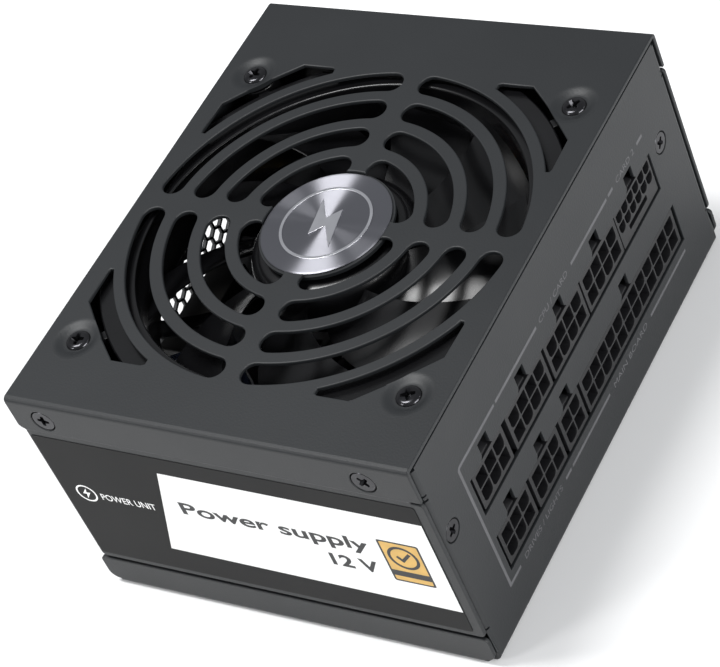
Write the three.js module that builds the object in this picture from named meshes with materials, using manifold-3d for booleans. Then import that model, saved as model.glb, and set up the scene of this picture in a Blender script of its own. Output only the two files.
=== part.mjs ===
// A small form factor modular power supply unit for a desktop computer.
// Sizes are millimetres. The origin is the middle of the case's underside, +Z is up,
// the modular sockets face -Y, the mains inlet and the vents face +Y.
import * as THREE from 'three';
import { mergeVertices } from 'three/addons/utils/BufferGeometryUtils.js';
import Module from 'manifold-3d';

const wasm = await Module();
wasm.setup();

// Case.
const CASE_X = 125;
const CASE_Y = 100;
const CASE_Z = 63.5;
const SHEET = 1;
const SEAM = 0.3;
const HALF_X = CASE_X / 2;
const HALF_Y = CASE_Y / 2;
const PLATE_UNDER = CASE_Z - SHEET;
const WALL_IN = HALF_X - SHEET;
const PANEL_TOP = PLATE_UNDER - SEAM;
const PANEL_HALF = WALL_IN - SEAM;
const TRAY_BEND = 1.6;
const COVER_BEND = 1.2;
const SIDE_LIP_TOP = 8.9;
const COVER_LOW = 9.8;
const STEP_Z = 53.9;
const LABEL_THICK = 0.15;
const SIDE_OUT = HALF_X - LABEL_THICK;
const COVER_SHORT = 1.2;
const LOWER_END = HALF_Y - COVER_SHORT;
const RELIEF_DEEP = 2.6;
const RELIEF_TALL = 0.7;
const FLANGE_LOW = 10.9;
const FLANGE_HIGH = 52.4;
const FLANGE_DEEP = 11;
const TAB_LOW = STEP_Z + SEAM;
const TAB_HIGH = 61.6;
const BEND_STEPS = 3;

// Fan, its grille and the medallion in the middle of the grille.
const FAN_X = -2.5;
const FAN_Y = 0.3;
const FAN_SIDE = 92;
const FAN_CORNER_R = 52.6;
const FAN_BOSS_R = 4.6;
const FAN_DEEP = 15;
const FAN_TOP = 61.4;
const FAN_Z = FAN_TOP - FAN_DEEP;
const FAN_PITCH = 82.5;
const FAN_BORE = 44.2;
const BLADES = 9;
const BLADE_ROOT = 18;
const BLADE_TIP = 43.2;
const HUB_R = 19;
const SLOT_WIDE = 5.65;
const SLOT_FIRST = 17;
const SLOT_PITCH = 8.65;
const SLOT_RINGS = 4;
const SPOKE = 4.35;
const MEDAL_R = 14.85;
const MEDAL_THICK = 0.5;
const DISH_R = 15.2;
const DISH_DEEP = 0.9;
const DIMPLE_R = 5.4;
const DIMPLE_DEEP = 0.8;

// Modular sockets: each has its centre, its columns and the middle of its latch.
const CELL = 4.2;
const CELL_OPEN = 3.7;
const CELL_DEEP = 9.5;
const CELL_CHAMFER = 1;
const RIM = 0.85;
const SOCKET_FRONT = -49.7;
const SOCKET_DEEP = 12.7;
const UPPER_Z = 37.25;
const LOWER_Z = 18.8;
const LATCH_WIDE = 3.9;
const LATCH_TALL = 4.1;
const UPPER_ROW = [
  { name: 'socket_upper_1', x: -39.2, columns: 3 },
  { name: 'socket_upper_2', x: -21.1, columns: 4 },
  { name: 'socket_upper_3', x: -1.65, columns: 4 },
  { name: 'socket_upper_4', x: 17.4, columns: 4 },
];
const LOWER_ROW = [
  { name: 'socket_lower_1', x: -39.1, columns: 3 },
  { name: 'socket_lower_2', x: -23.75, columns: 3 },
  { name: 'socket_lower_3', x: -10.35, columns: 2 },
  { name: 'socket_lower_4', x: 21.75, columns: 12 },
];
const FINE = { name: 'socket_upper_5', x: 36.4, wide: 18.9, cell: 3, open: 2.6, columns: 6 };
const UPPER_WINDOW = [-47.3, 31.7, 46.3, 42.6];
const LOWER_WINDOW = [-47.1, 13.2, 48.6, 24.25];

// Screws.
const COVER_SCREW_YZ = [[-38, 57.6], [41.8, 57.8]];
const PANEL_SCREW_XZ = { left: [-57.6, 39.7], right: [51.75, 40.5] };
const MOUNT_X = 113;
const MOUNT_Z = 51.5;
const MOUNT_MID_Z = CASE_Z / 2;
const SPACER_R = 2.5;
const BOARD_SCREW_XY = [[-55.2, -30], [55.2, -30], [-55.2, 41], [55.2, 41]];

// Mains inlet, power switch and vents in the +Y panel.
const INLET_X = 38;
const INLET_Z = 19;
const SWITCH_X = 13.5;
const SWITCH_Z = 19;
const ROCKER_PIVOT_IN = 3.2;
const ROCKER_TILT = 12;
const VENT_PITCH = 8.2;
const VENT_FLATS = 7;

// Circuit boards.
const BOARD_Z = 6;
const BOARD_THICK = 1.6;
const BOARD_TOP = BOARD_Z + BOARD_THICK;
const PART_Z = BOARD_TOP + 0.3;
const PLUG_BOARD_Y = -36.7;

const DEG = Math.PI / 180;
const GRID = 1e4;

const POWDER = { color: 0x34363a, roughness: 0.62, metalness: 0.25 };
const BLACK_PLASTIC = { color: 0x1b1b1d, roughness: 0.45, metalness: 0 };
const GREY_PLASTIC = { color: 0x3a3a3c, roughness: 0.5, metalness: 0 };
const BLACK_SCREW = { color: 0x161617, roughness: 0.35, metalness: 0.8 };
const STEEL = { color: 0xb8babd, roughness: 0.35, metalness: 1 };
const ALUMINIUM = { color: 0xc8cace, roughness: 0.3, metalness: 1 };
const GREEN_BOARD = { color: 0x1e4a2c, roughness: 0.5, metalness: 0 };
const DARK_LABEL = { color: 0x404040, roughness: 0.5, metalness: 0 };
const FERRITE = { color: 0x2b2b2e, roughness: 0.7, metalness: 0.1 };
const COPPER = { color: 0xa8562a, roughness: 0.4, metalness: 0.6 };
const YELLOW_TAPE = { color: 0xd8b020, roughness: 0.5, metalness: 0 };
const BRASS = { color: 0xb99a50, roughness: 0.3, metalness: 1 };
const PURPLE_SLEEVE = { color: 0x2a2036, roughness: 0.35, metalness: 0 };

// ---- closed geometries as solids that can be joined and cut ----

// Places are rounded to a fine grid, so that faces meant to lie in one plane do.
function solid(geometry) {
  const bare = geometry.clone();
  bare.deleteAttribute('normal');
  bare.deleteAttribute('uv');
  const places = bare.attributes.position;
  for (let i = 0; i < places.array.length; i += 1) {
    places.array[i] = Math.round(places.array[i] * GRID) / GRID;
  }
  const merged = mergeVertices(bare, 1e-4);
  const corners = merged.index.array;
  const kept = [];
  for (let i = 0; i < corners.length; i += 3) {
    const [a, b, c] = [corners[i], corners[i + 1], corners[i + 2]];
    if (a !== b && b !== c && c !== a) kept.push(a, b, c);
  }
  return new wasm.Manifold(new wasm.Mesh({
    numProp: 3,
    vertProperties: new Float32Array(merged.attributes.position.array),
    triVerts: new Uint32Array(kept),
  }));
}

const join = (...solids) => solids.reduce((whole, next) => whole.add(next));
const cut = (body, ...cutters) => cutters.reduce((rest, cutter) => rest.subtract(cutter), body);

function piece(parent, name, shape, finish, place = [0, 0, 0], turn = [0, 0, 0]) {
  const made = shape.getMesh();
  const geometry = new THREE.BufferGeometry();
  geometry.setAttribute('position', new THREE.BufferAttribute(new Float32Array(made.vertProperties), 3));
  geometry.setIndex(new THREE.BufferAttribute(new Uint32Array(made.triVerts), 1));
  geometry.computeVertexNormals();
  const mesh = new THREE.Mesh(geometry, new THREE.MeshStandardMaterial(finish));
  mesh.name = name;
  mesh.position.set(...place);
  mesh.rotation.set(...turn);
  parent.add(mesh);
}

// ---- basic shapes ----

function block(low, high) {
  const size = high.map((value, i) => value - low[i]);
  const box = new THREE.BoxGeometry(...size);
  box.translate(low[0] + size[0] / 2, low[1] + size[1] / 2, low[2] + size[2] / 2);
  return solid(box);
}

// A round bar or cone along X, Y or Z, from one end to the other.
function bar(axis, centre, from, to, radiusFrom, radiusTo = radiusFrom, sides = 16) {
  const round = new THREE.CylinderGeometry(radiusTo, radiusFrom, to - from, sides);
  const middle = (from + to) / 2;
  if (axis === 'x') {
    round.rotateZ(-Math.PI / 2);
    round.translate(middle, centre[0], centre[1]);
  } else if (axis === 'y') {
    round.translate(centre[0], middle, centre[1]);
  } else {
    round.rotateX(Math.PI / 2);
    round.translate(centre[0], centre[1], middle);
  }
  return solid(round);
}

// An outline extruded along the axis that its plane leaves out.
function prism(points, plane, from, to) {
  const shape = new THREE.Shape(points.map(([u, v]) => new THREE.Vector2(u, v)));
  const made = new THREE.ExtrudeGeometry(shape, { depth: to - from, bevelEnabled: false, steps: 1 });
  const [x, y, z] = [new THREE.Vector3(1, 0, 0), new THREE.Vector3(0, 1, 0), new THREE.Vector3(0, 0, 1)];
  const turn = new THREE.Matrix4();
  if (plane === 'yz') {
    made.applyMatrix4(turn.makeBasis(y, z, x));
    made.translate(from, 0, 0);
  } else if (plane === 'xz') {
    made.applyMatrix4(turn.makeBasis(x, z, y.clone().negate()));
    made.translate(0, to, 0);
  } else {
    made.translate(0, 0, from);
  }
  return solid(made);
}

function lathe(profile, sides) {
  const made = new THREE.LatheGeometry(profile.map(([r, z]) => new THREE.Vector2(r, z)), sides);
  made.rotateX(Math.PI / 2);
  return solid(made);
}

function arc(cx, cy, radius, fromDeg, toDeg, steps) {
  const points = [];
  for (let i = 0; i <= steps; i += 1) {
    const angle = (fromDeg + ((toDeg - fromDeg) * i) / steps) * DEG;
    points.push([cx + radius * Math.cos(angle), cy + radius * Math.sin(angle)]);
  }
  return points;
}

// A rectangle whose four corners have their own radii, from the lower left one round.
function roundedRectangle(x0, y0, x1, y1, [a, b, c, d], steps = BEND_STEPS) {
  const corner = (cx, cy, radius, start) => {
    return radius > 0 ? arc(cx, cy, radius, start, start + 90, steps) : [[cx, cy]];
  };
  return [
    ...corner(x0 + a, y0 + a, a, 180),
    ...corner(x1 - b, y0 + b, b, 270),
    ...corner(x1 - c, y1 - c, c, 0),
    ...corner(x0 + d, y1 - d, d, 90),
  ];
}

// ---- screws: the head's top is at z = 0 and the shank points down ----

function screw({ head, thick, shank, long, flush }) {
  const headSide = flush
    ? [[shank, -thick], [head, -0.15], [head, 0]]
    : [[shank, -thick], [head, -thick], [head, 0]];
  const body = lathe([[0, -long], [shank, -long], ...headSide, [0, 0]], 10);
  const arm = head * 0.58;
  const slot = 0.4;
  const deep = Math.min(1.1, thick);
  const along = block([-arm, -slot, -deep], [arm, slot, 1]);
  const across = block([-slot, -arm, -deep], [slot, arm, 1]);
  return cut(body, along, across);
}

const fanScrew = screw({ head: 2.85, thick: 0.35, shank: 1.75, long: 10, flush: false });
const coverScrew = screw({ head: 2.65, thick: 1.1, shank: 1.15, long: 5, flush: true });
const panelScrew = screw({ head: 2.5, thick: 1.1, shank: 1.15, long: 6, flush: true });
const boardScrew = screw({ head: 2.7, thick: 1.5, shank: 1.15, long: 6, flush: false });

// ---- case ----

// The slots of one grille quarter; sx and sy pick the quarter.
function grilleQuarter(sx, sy) {
  const slots = [];
  const half = SLOT_WIDE / 2;
  for (let ring = 0; ring < SLOT_RINGS; ring += 1) {
    const radius = SLOT_FIRST + ring * SLOT_PITCH;
    const start = Math.asin((SPOKE / 2 + half) / radius) / DEG;
    const end = 90 - start;
    const steps = Math.ceil((end - start) / 9);
    const [sc, ss] = [Math.cos(start * DEG), Math.sin(start * DEG)];
    slots.push([
      ...arc(0, 0, radius + half, start, end, steps),
      ...arc(radius * ss, radius * sc, half, end, end + 180, 4).slice(1, -1),
      ...arc(0, 0, radius - half, end, start, steps),
      ...arc(radius * sc, radius * ss, half, start + 180, start + 360, 4).slice(1, -1),
    ]);
  }
  slots.push([
    ...arc(0, 0, 48.5, 25.9, 64.1, 4),
    [21.3, 44.5],
    [22, 44.75],
    [30.9, 44.5],
    [40.1, 35.5],
    [45.3, 29.7],
    [45.3, 22],
    [44.9, 21.2],
  ]);
  return slots.map((points) => prism(
    points.map(([x, y]) => [FAN_X + sx * x, FAN_Y + sy * y]),
    'xy',
    FAN_TOP,
    CASE_Z + 1,
  ));
}

function coverSide(side) {
  const lower = [
    ...roundedRectangle(-HALF_Y, COVER_LOW, LOWER_END, STEP_Z + SEAM, [1.2, 1.2, 0, 0]).slice(0, -1),
    [-HALF_Y + RELIEF_DEEP, STEP_Z + SEAM],
    [-HALF_Y + RELIEF_DEEP, STEP_Z - RELIEF_TALL],
    ...arc(-HALF_Y + 1, STEP_Z - RELIEF_TALL - 1, 1, 90, 180, BEND_STEPS),
  ];
  const [from, to] = side > 0 ? [WALL_IN, SIDE_OUT] : [-SIDE_OUT, -WALL_IN];
  return prism(lower, 'yz', from, to);
}

function topCover() {
  const bend = COVER_BEND;
  const profile = [
    [-WALL_IN, STEP_Z],
    [-WALL_IN, PLATE_UNDER],
    [WALL_IN, PLATE_UNDER],
    [WALL_IN, STEP_Z],
    [HALF_X, STEP_Z],
    ...arc(HALF_X - bend, CASE_Z - bend, bend, 0, 90, BEND_STEPS + 1),
    ...arc(-HALF_X + bend, CASE_Z - bend, bend, 90, 180, BEND_STEPS + 1),
    [-HALF_X, STEP_Z],
  ];
  const corner = 1.5;
  const endCorner = cut(
    block([-HALF_X - 1, HALF_Y - corner, STEP_Z - 1], [HALF_X + 1, HALF_Y + 1, STEP_Z + corner]),
    bar('x', [HALF_Y - corner, STEP_Z + corner], -HALF_X - 2, HALF_X + 2, corner, corner, 24),
  );
  const hat = cut(prism(profile, 'xz', -HALF_Y, HALF_Y), endCorner);
  const dishOuter = DISH_R + 0.6;
  const dishLow = PLATE_UNDER - DISH_DEEP;
  const dishFloor = bar('z', [FAN_X, FAN_Y], dishLow, PLATE_UNDER + 0.2, dishOuter, dishOuter, 28);
  let cover = join(hat, coverSide(1), coverSide(-1), dishFloor);
  cover = cut(cover, bar('z', [FAN_X, FAN_Y], CASE_Z - DISH_DEEP, CASE_Z + 1, DISH_R, DISH_R, 28));
  const reach = FAN_PITCH / 2;
  for (const [sx, sy] of [[1, 1], [-1, 1], [-1, -1], [1, -1]]) {
    const spot = [FAN_X + sx * reach, FAN_Y + sy * reach];
    const floor = CASE_Z - DIMPLE_DEEP;
    const boss = bar('z', spot, floor - SHEET, PLATE_UNDER + 0.2, DIMPLE_R - 1, DIMPLE_R + 0.2, 12);
    const bowl = bar('z', spot, floor, CASE_Z + 0.2, DIMPLE_R - 1.6, DIMPLE_R + 0.3, 12);
    cover = cut(join(cover, boss), bowl, bar('z', spot, floor - 2, floor + 1, 2.25, 2.25, 10));
  }
  for (const side of [-1, 1]) {
    for (const spot of COVER_SCREW_YZ) {
      const [out, inside] = [side * (HALF_X + 0.2), side * (WALL_IN - 0.2)];
      const [narrow, wide] = [1.7, 3.3];
      const ends = side > 0 ? [inside, out, narrow, wide] : [out, inside, wide, narrow];
      cover = cut(cover, bar('x', spot, ...ends, 12));
    }
  }
  const quarters = [[1, 1], [-1, 1], [-1, -1], [1, -1]].flatMap(([sx, sy]) => grilleQuarter(sx, sy));
  return cut(cover, join(...quarters));
}

// The bottom sheet, bent up into the socket panel (-Y) and the inlet panel (+Y).
function trayChannel() {
  const bend = TRAY_BEND;
  const [outer, inner] = [HALF_Y, HALF_Y - SHEET];
  const profile = [
    [-outer, PANEL_TOP],
    ...arc(-outer + bend, bend, bend, 180, 270, BEND_STEPS),
    ...arc(outer - bend, bend, bend, 270, 360, BEND_STEPS),
    [outer, PANEL_TOP],
    [inner, PANEL_TOP],
    ...arc(outer - bend, bend, bend - SHEET, 0, -90, BEND_STEPS),
    ...arc(-outer + bend, bend, bend - SHEET, 270, 180, BEND_STEPS),
    [-inner, PANEL_TOP],
  ];
  const relief = HALF_X - bend;
  const corners = [-1, 1].map((side) => block(
    [Math.min(side * relief, side * HALF_X), -HALF_Y - 1, -1],
    [Math.max(side * relief, side * HALF_X), HALF_Y + 1, 3.2],
  ));
  return cut(prism(profile, 'yz', -PANEL_HALF, PANEL_HALF), ...corners);
}

// The low lip along each long side, with its bend.
function trayLip(side) {
  const bend = TRAY_BEND;
  const profile = [
    [HALF_X - bend - 0.5, 0],
    ...arc(HALF_X - bend, bend, bend, 270, 360, BEND_STEPS),
    [HALF_X, bend + 1],
    [WALL_IN, bend + 1],
    ...arc(HALF_X - bend, bend, bend - SHEET, 0, -90, BEND_STEPS),
    [HALF_X - bend - 0.5, SHEET],
  ].map(([x, z]) => [side * x, z]);
  const lip = roundedRectangle(-HALF_Y, bend, HALF_Y, SIDE_LIP_TOP, [2.4, 2.4, 1, 1]);
  const [from, to] = side > 0 ? [WALL_IN, HALF_X] : [-HALF_X, -WALL_IN];
  return join(prism(profile, 'xz', -47.6, 47.6), prism(lip, 'yz', from, to));
}

// A panel's side flange, bent back inside the cover's wall.
function panelFlange(side, end) {
  const bend = 1.2;
  const outline = [
    [PANEL_HALF - bend - 2, HALF_Y],
    ...arc(PANEL_HALF - bend, HALF_Y - bend, bend, 90, 0, BEND_STEPS),
    [PANEL_HALF, HALF_Y - FLANGE_DEEP],
    [PANEL_HALF - SHEET, HALF_Y - FLANGE_DEEP],
    [PANEL_HALF - SHEET, HALF_Y - SHEET],
    [PANEL_HALF - bend - 2, HALF_Y - SHEET],
  ].map(([x, y]) => [side * x, end * y]);
  return prism(outline, 'xy', FLANGE_LOW, FLANGE_HIGH);
}

function vents() {
  const holes = [];
  const row = VENT_PITCH * Math.sqrt(0.75);
  const radius = VENT_FLATS / Math.sqrt(3);
  const clear = (x, z) => {
    const byInlet = Math.abs(x - INLET_X) < 19.5 && Math.abs(z - INLET_Z) < 15.5;
    const bySwitch = Math.abs(x - SWITCH_X) < 11.5 && Math.abs(z - SWITCH_Z) < 14.5;
    const byScrew = Math.hypot(Math.abs(x) - MOUNT_X / 2, Math.abs(z - MOUNT_MID_Z) - MOUNT_Z / 2) < 8.5;
    return !(byInlet || bySwitch || byScrew);
  };
  for (let j = 0; j < 5; j += 1) {
    const z = 10 + j * row;
    for (let i = -7; i <= 7; i += 1) {
      const x = (i + (j % 2) / 2) * VENT_PITCH;
      if (Math.abs(x) < 53 && clear(x, z)) {
        const hexagon = arc(x, z, radius, 30, 330, 5);
        holes.push(prism(hexagon, 'xz', HALF_Y - 2, HALF_Y + 1));
      }
    }
  }
  return join(...holes);
}

// One window per row of sockets, with a notch above each socket for its latch.
function socketWindows() {
  const window = ([x0, z0, x1, z1]) => block([x0, -HALF_Y - 1, z0], [x1, -HALF_Y + 2, z1]);
  const notch = (x, z) => {
    const half = LATCH_WIDE / 2;
    const flare = 0.7;
    const outline = [
      [x - half - flare, z - 0.2],
      [x + half + flare, z - 0.2],
      [x + half, z + flare],
      [x + half, z + LATCH_TALL],
      [x - half, z + LATCH_TALL],
      [x - half, z + flare],
    ];
    return prism(outline, 'xz', -HALF_Y - 1, -HALF_Y + 2);
  };
  const upper = [...UPPER_ROW, FINE].map(({ x }) => notch(x, UPPER_WINDOW[3]));
  const lower = LOWER_ROW.map(({ x }) => notch(x, LOWER_WINDOW[3]));
  return join(window(UPPER_WINDOW), window(LOWER_WINDOW), ...upper, ...lower);
}

function baseTray() {
  let tray = join(trayChannel(), trayLip(1), trayLip(-1));
  for (const end of [-1, 1]) {
    const [y0, y1] = end > 0 ? [HALF_Y - SHEET, HALF_Y] : [-HALF_Y, -HALF_Y + SHEET];
    for (const side of [-1, 1]) {
      const edge = (x) => side * x;
      const span = (a, b) => [Math.min(edge(a), edge(b)), Math.max(edge(a), edge(b))];
      const [c0, c1] = span(PANEL_HALF - 1.2, PANEL_HALF + 0.1);
      tray = cut(tray, block([c0, y0 - 0.1, FLANGE_LOW - 0.5], [c1, y1 + 0.1, FLANGE_HIGH + 0.5]));
      tray = join(tray, panelFlange(side, end));
      const [t0, t1] = span(PANEL_HALF - SHEET, PANEL_HALF);
      const deep = end > 0 ? 12.5 : 16.5;
      const [b0, b1] = end > 0 ? [HALF_Y - deep, HALF_Y - 0.5] : [-HALF_Y + 0.5, -HALF_Y + deep];
      tray = join(tray, block([t0, b0, TAB_LOW], [t1, b1, TAB_HIGH]));
    }
  }
  for (const spot of COVER_SCREW_YZ) {
    tray = cut(tray, bar('x', spot, -HALF_X, HALF_X, 1.4, 1.4, 8));
  }
  for (const [x, y] of BOARD_SCREW_XY) {
    tray = join(tray, bar('z', [x, y], 0.5, BOARD_Z - SEAM, 3, 3, 10));
    tray = cut(tray, bar('z', [x, y], 1.5, BOARD_Z, 1.4, 1.4, 8));
  }
  for (const sx of [-1, 1]) {
    for (const sz of [-1, 1]) {
      const spot = [(sx * MOUNT_X) / 2, MOUNT_MID_Z + (sz * MOUNT_Z) / 2];
      tray = join(tray, bar('y', spot, HALF_Y - 2.5, HALF_Y - 0.5, 2.6, 2.6, 8));
      tray = cut(tray, bar('y', spot, HALF_Y - 4, HALF_Y + 1, 1.4, 1.4, 8));
    }
  }
  for (const spot of Object.values(PANEL_SCREW_XZ)) {
    tray = cut(tray, bar('y', spot, -HALF_Y - 0.2, -HALF_Y + SHEET + 0.2, 2.9, 1.5, 10));
  }
  const panelHole = (x, z, halfX, halfZ) => block(
    [x - halfX, HALF_Y - 2, z - halfZ],
    [x + halfX, HALF_Y + 1, z + halfZ],
  );
  const inletHole = panelHole(INLET_X, INLET_Z, 13.75, 10.3);
  const switchHole = panelHole(SWITCH_X, SWITCH_Z, 6.7, 9.75);
  return cut(tray, inletHole, switchHole, vents(), socketWindows());
}

function addCase(unit) {
  piece(unit, 'base_tray', baseTray(), POWDER);
  piece(unit, 'top_cover', topCover(), POWDER);
  const label = block([-HALF_X, -47.6, 11.3], [-SIDE_OUT, 48.2, 52]);
  piece(unit, 'side_label', label, DARK_LABEL);
  const rating = block([SIDE_OUT, -44, 13], [HALF_X, 44, 50]);
  piece(unit, 'rating_label', rating, DARK_LABEL);
  const medal = bar('z', [0, 0], 0, MEDAL_THICK, MEDAL_R, MEDAL_R, 32);
  piece(unit, 'medallion', medal, ALUMINIUM, [FAN_X, FAN_Y, CASE_Z - DISH_DEEP]);
  let count = 1;
  for (const side of [-1, 1]) {
    for (const [y, z] of COVER_SCREW_YZ) {
      const place = [side * (HALF_X - 0.05), y, z];
      piece(unit, `cover_screw_${count}`, coverScrew, BLACK_SCREW, place, [0, side * 90 * DEG, 0]);
      count += 1;
    }
  }
  for (const [name, [x, z]] of Object.entries(PANEL_SCREW_XZ)) {
    piece(unit, `panel_screw_${name}`, panelScrew, BLACK_SCREW, [x, -HALF_Y + 0.05, z], [90 * DEG, 0, 0]);
    const nut = arc(x, z, SPACER_R, 30, 330, 5);
    const spacer = cut(
      prism(nut, 'xz', -HALF_Y + SHEET + 0.1, PLUG_BOARD_Y - 0.1),
      bar('y', [x, z], -HALF_Y, PLUG_BOARD_Y + 1, 1.4, 1.4, 12),
    );
    piece(unit, `connector_spacer_${name}`, spacer, BRASS);
  }
}

// ---- fan: its parts are placed in a group whose origin is the middle of the fan's underside ----

function fanFrame() {
  const flat = Math.acos(FAN_SIDE / 2 / FAN_CORNER_R) / DEG;
  const quarter = (turn) => arc(0, 0, FAN_CORNER_R, turn + flat, turn + 90 - flat, 6);
  let outside = prism([0, 90, 180, 270].flatMap(quarter), 'xy', 0, FAN_DEEP);
  // Each screw boss stands off the ring on a short web.
  for (const [sx, sy] of [[1, 1], [-1, 1], [-1, -1], [1, -1]]) {
    const spot = [(sx * FAN_PITCH) / 2, (sy * FAN_PITCH) / 2];
    const web = new THREE.BoxGeometry(6, 2.6, FAN_DEEP);
    web.translate(FAN_CORNER_R + 1.5, 0, FAN_DEEP / 2);
    web.rotateZ(Math.atan2(sy, sx));
    outside = join(outside, solid(web), bar('z', spot, 0, FAN_DEEP, FAN_BOSS_R, FAN_BOSS_R, 20));
  }
  const bore = bar('z', [0, 0], -1, FAN_DEEP + 1, FAN_BORE, FAN_BORE, 36);
  const mouth = bar('z', [0, 0], FAN_DEEP - 3, FAN_DEEP + 0.1, FAN_BORE, FAN_BORE + 1.2, 36);
  let frame = cut(outside, bore, mouth);
  for (const [sx, sy] of [[1, 1], [-1, 1], [-1, -1], [1, -1]]) {
    const spot = [(sx * FAN_PITCH) / 2, (sy * FAN_PITCH) / 2];
    frame = cut(frame, bar('z', spot, -1, FAN_DEEP + 1, 2.15, 2.15, 12));
  }
  const hubBase = bar('z', [0, 0], 0, 1.6, 16.5, 16.5, 20);
  const tube = bar('z', [0, 0], 0, 8.5, 4, 4, 12);
  frame = join(frame, hubBase, tube);
  for (const angle of [28, 118, 208, 298]) {
    const strut = new THREE.BoxGeometry(32, 4, 2.2);
    strut.translate(30, 3, 1.1);
    strut.rotateZ(angle * DEG);
    frame = join(frame, solid(strut));
  }
  return cut(frame, bar('z', [0, 0], 0.8, 9, 1.85, 1.85, 12));
}

// One blade: a flat slab bent to the blade's sweep, pitch and camber.
function blade(startDeg) {
  const slab = new THREE.BoxGeometry(1, 1, 1, 4, 1, 4);
  const points = slab.attributes.position;
  for (let i = 0; i < points.count; i += 1) {
    const along = points.getX(i) + 0.5;
    const across = points.getZ(i) + 0.5;
    const radius = BLADE_ROOT + along * (BLADE_TIP - BLADE_ROOT);
    const angle = (startDeg + 26 * along - (34 - 4 * along) * across) * DEG;
    const top = 11 + 1.9 * Math.sqrt(along);
    const thick = 1.5 * (0.5 + 0.5 * Math.sin(Math.PI * across));
    const height = top - (7.2 + 1.4 * along) * across - 0.9 * Math.sin(Math.PI * across);
    points.setXYZ(i, radius * Math.cos(angle), radius * Math.sin(angle), height + points.getY(i) * thick);
  }
  return solid(slab);
}

function fanRotor() {
  const cup = lathe([
    [0, 1.6],
    [1.5, 1.6],
    [1.5, 12.2],
    [17.6, 12.2],
    [17.6, 3.4],
    [HUB_R, 3.4],
    [HUB_R, 9.8],
    [18.4, 11.6],
    [16.8, 13.3],
    [14.6, 14],
    [0, 14],
  ], 28);
  let rotor = cup;
  for (let i = 0; i < BLADES; i += 1) rotor = join(rotor, blade(228.5 + (360 / BLADES) * i));
  return rotor;
}

// The motor's laminated core: a ring with four pole arms.
function fanStator() {
  const disc = bar('z', [0, 0], 2.6, 9, 16.6, 16.6, 24);
  const slots = [45, 135, 225, 315].map((middle) => prism(
    [...arc(0, 0, 14.6, middle - 30, middle + 30, 4), ...arc(0, 0, 7.5, middle + 26, middle - 26, 3)],
    'xy',
    1,
    10,
  ));
  return cut(disc, bar('z', [0, 0], 1, 10, 4.3, 4.3, 16), ...slots);
}

function addFan(unit) {
  const fan = new THREE.Group();
  fan.position.set(FAN_X, FAN_Y, FAN_Z);
  unit.add(fan);
  piece(fan, 'fan_frame', fanFrame(), BLACK_PLASTIC);
  piece(fan, 'fan_rotor', fanRotor(), BLACK_PLASTIC);
  piece(fan, 'fan_stator', fanStator(), STEEL);
  let count = 1;
  for (const [sx, sy] of [[-1, -1], [1, -1], [1, 1], [-1, 1]]) {
    const place = [(sx * FAN_PITCH) / 2, (sy * FAN_PITCH) / 2, CASE_Z - DIMPLE_DEEP + 0.5 - FAN_Z];
    piece(fan, `fan_screw_${count}`, fanScrew, BLACK_SCREW, place, [0, 0, 25 * count * DEG]);
    count += 1;
  }
  const route = [
    [3, 5, 45.3], [9, 16, 45.3], [15, 28, 45.3], [20, 30, 43],
    [26.5, 29, 38], [32, 26, 31], [34, 24.8, 22], [34, 24.8, 16.2],
  ];
  const path = new THREE.CatmullRomCurve3(route.map((spot) => new THREE.Vector3(...spot)));
  const ring = new THREE.Shape(arc(0, 0, 0.8, 0, 315, 7).map(([x, y]) => new THREE.Vector2(x, y)));
  const lead = new THREE.ExtrudeGeometry(ring, { steps: 14, bevelEnabled: false, extrudePath: path });
  piece(unit, 'fan_lead', solid(lead), BLACK_PLASTIC);
  piece(unit, 'fan_plug', block([31, 22.4, PART_Z], [37, 27.2, 15.8]), { color: 0xe6e2d6, roughness: 0.5 });
}

// ---- modular sockets: the origin is the middle of the front face ----

// Mini-fit keying: these cells have two cut corners, counted from the left, upper row first.
const KEY_SHIFT = { 2: 2, 3: 1 };
const cornersCut = (columns, row, column) => {
  const phase = (column + (KEY_SHIFT[columns] ?? 0)) % 4;
  const upperCut = phase === 0 || phase === 3;
  return row === 0 ? upperCut : !upperCut;
};

function cellHole(x, z, open, chamfered) {
  const half = open / 2;
  const chamfer = chamfered ? CELL_CHAMFER : 0;
  const [left, right, low, high] = [x - half, x + half, z - half, z + half];
  const bottom = chamfered
    ? [[left, low + chamfer], [left + chamfer, low], [right - chamfer, low], [right, low + chamfer]]
    : [[left, low], [right, low]];
  return prism([...bottom, [right, high], [left, high]], 'xz', -1, CELL_DEEP);
}

function latch(top) {
  const profile = [[0.5, top - 0.5], [6, top - 0.5], [6, top + 2.2], [4.4, top + 2.2], [0.5, top + 0.5]];
  return prism(profile, 'yz', -LATCH_WIDE / 2 + 0.25, LATCH_WIDE / 2 - 0.25);
}

function socket(columns) {
  const halfX = (columns * CELL) / 2 + RIM;
  const halfZ = CELL + RIM;
  const body = join(block([-halfX, 0, -halfZ], [halfX, SOCKET_DEEP, halfZ]), latch(halfZ));
  const holes = [];
  for (let row = 0; row < 2; row += 1) {
    for (let column = 0; column < columns; column += 1) {
      const x = (column - (columns - 1) / 2) * CELL;
      const z = (0.5 - row) * CELL;
      holes.push(cellHole(x, z, CELL_OPEN, cornersCut(columns, row, column)));
    }
  }
  return cut(body, join(...holes));
}

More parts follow.
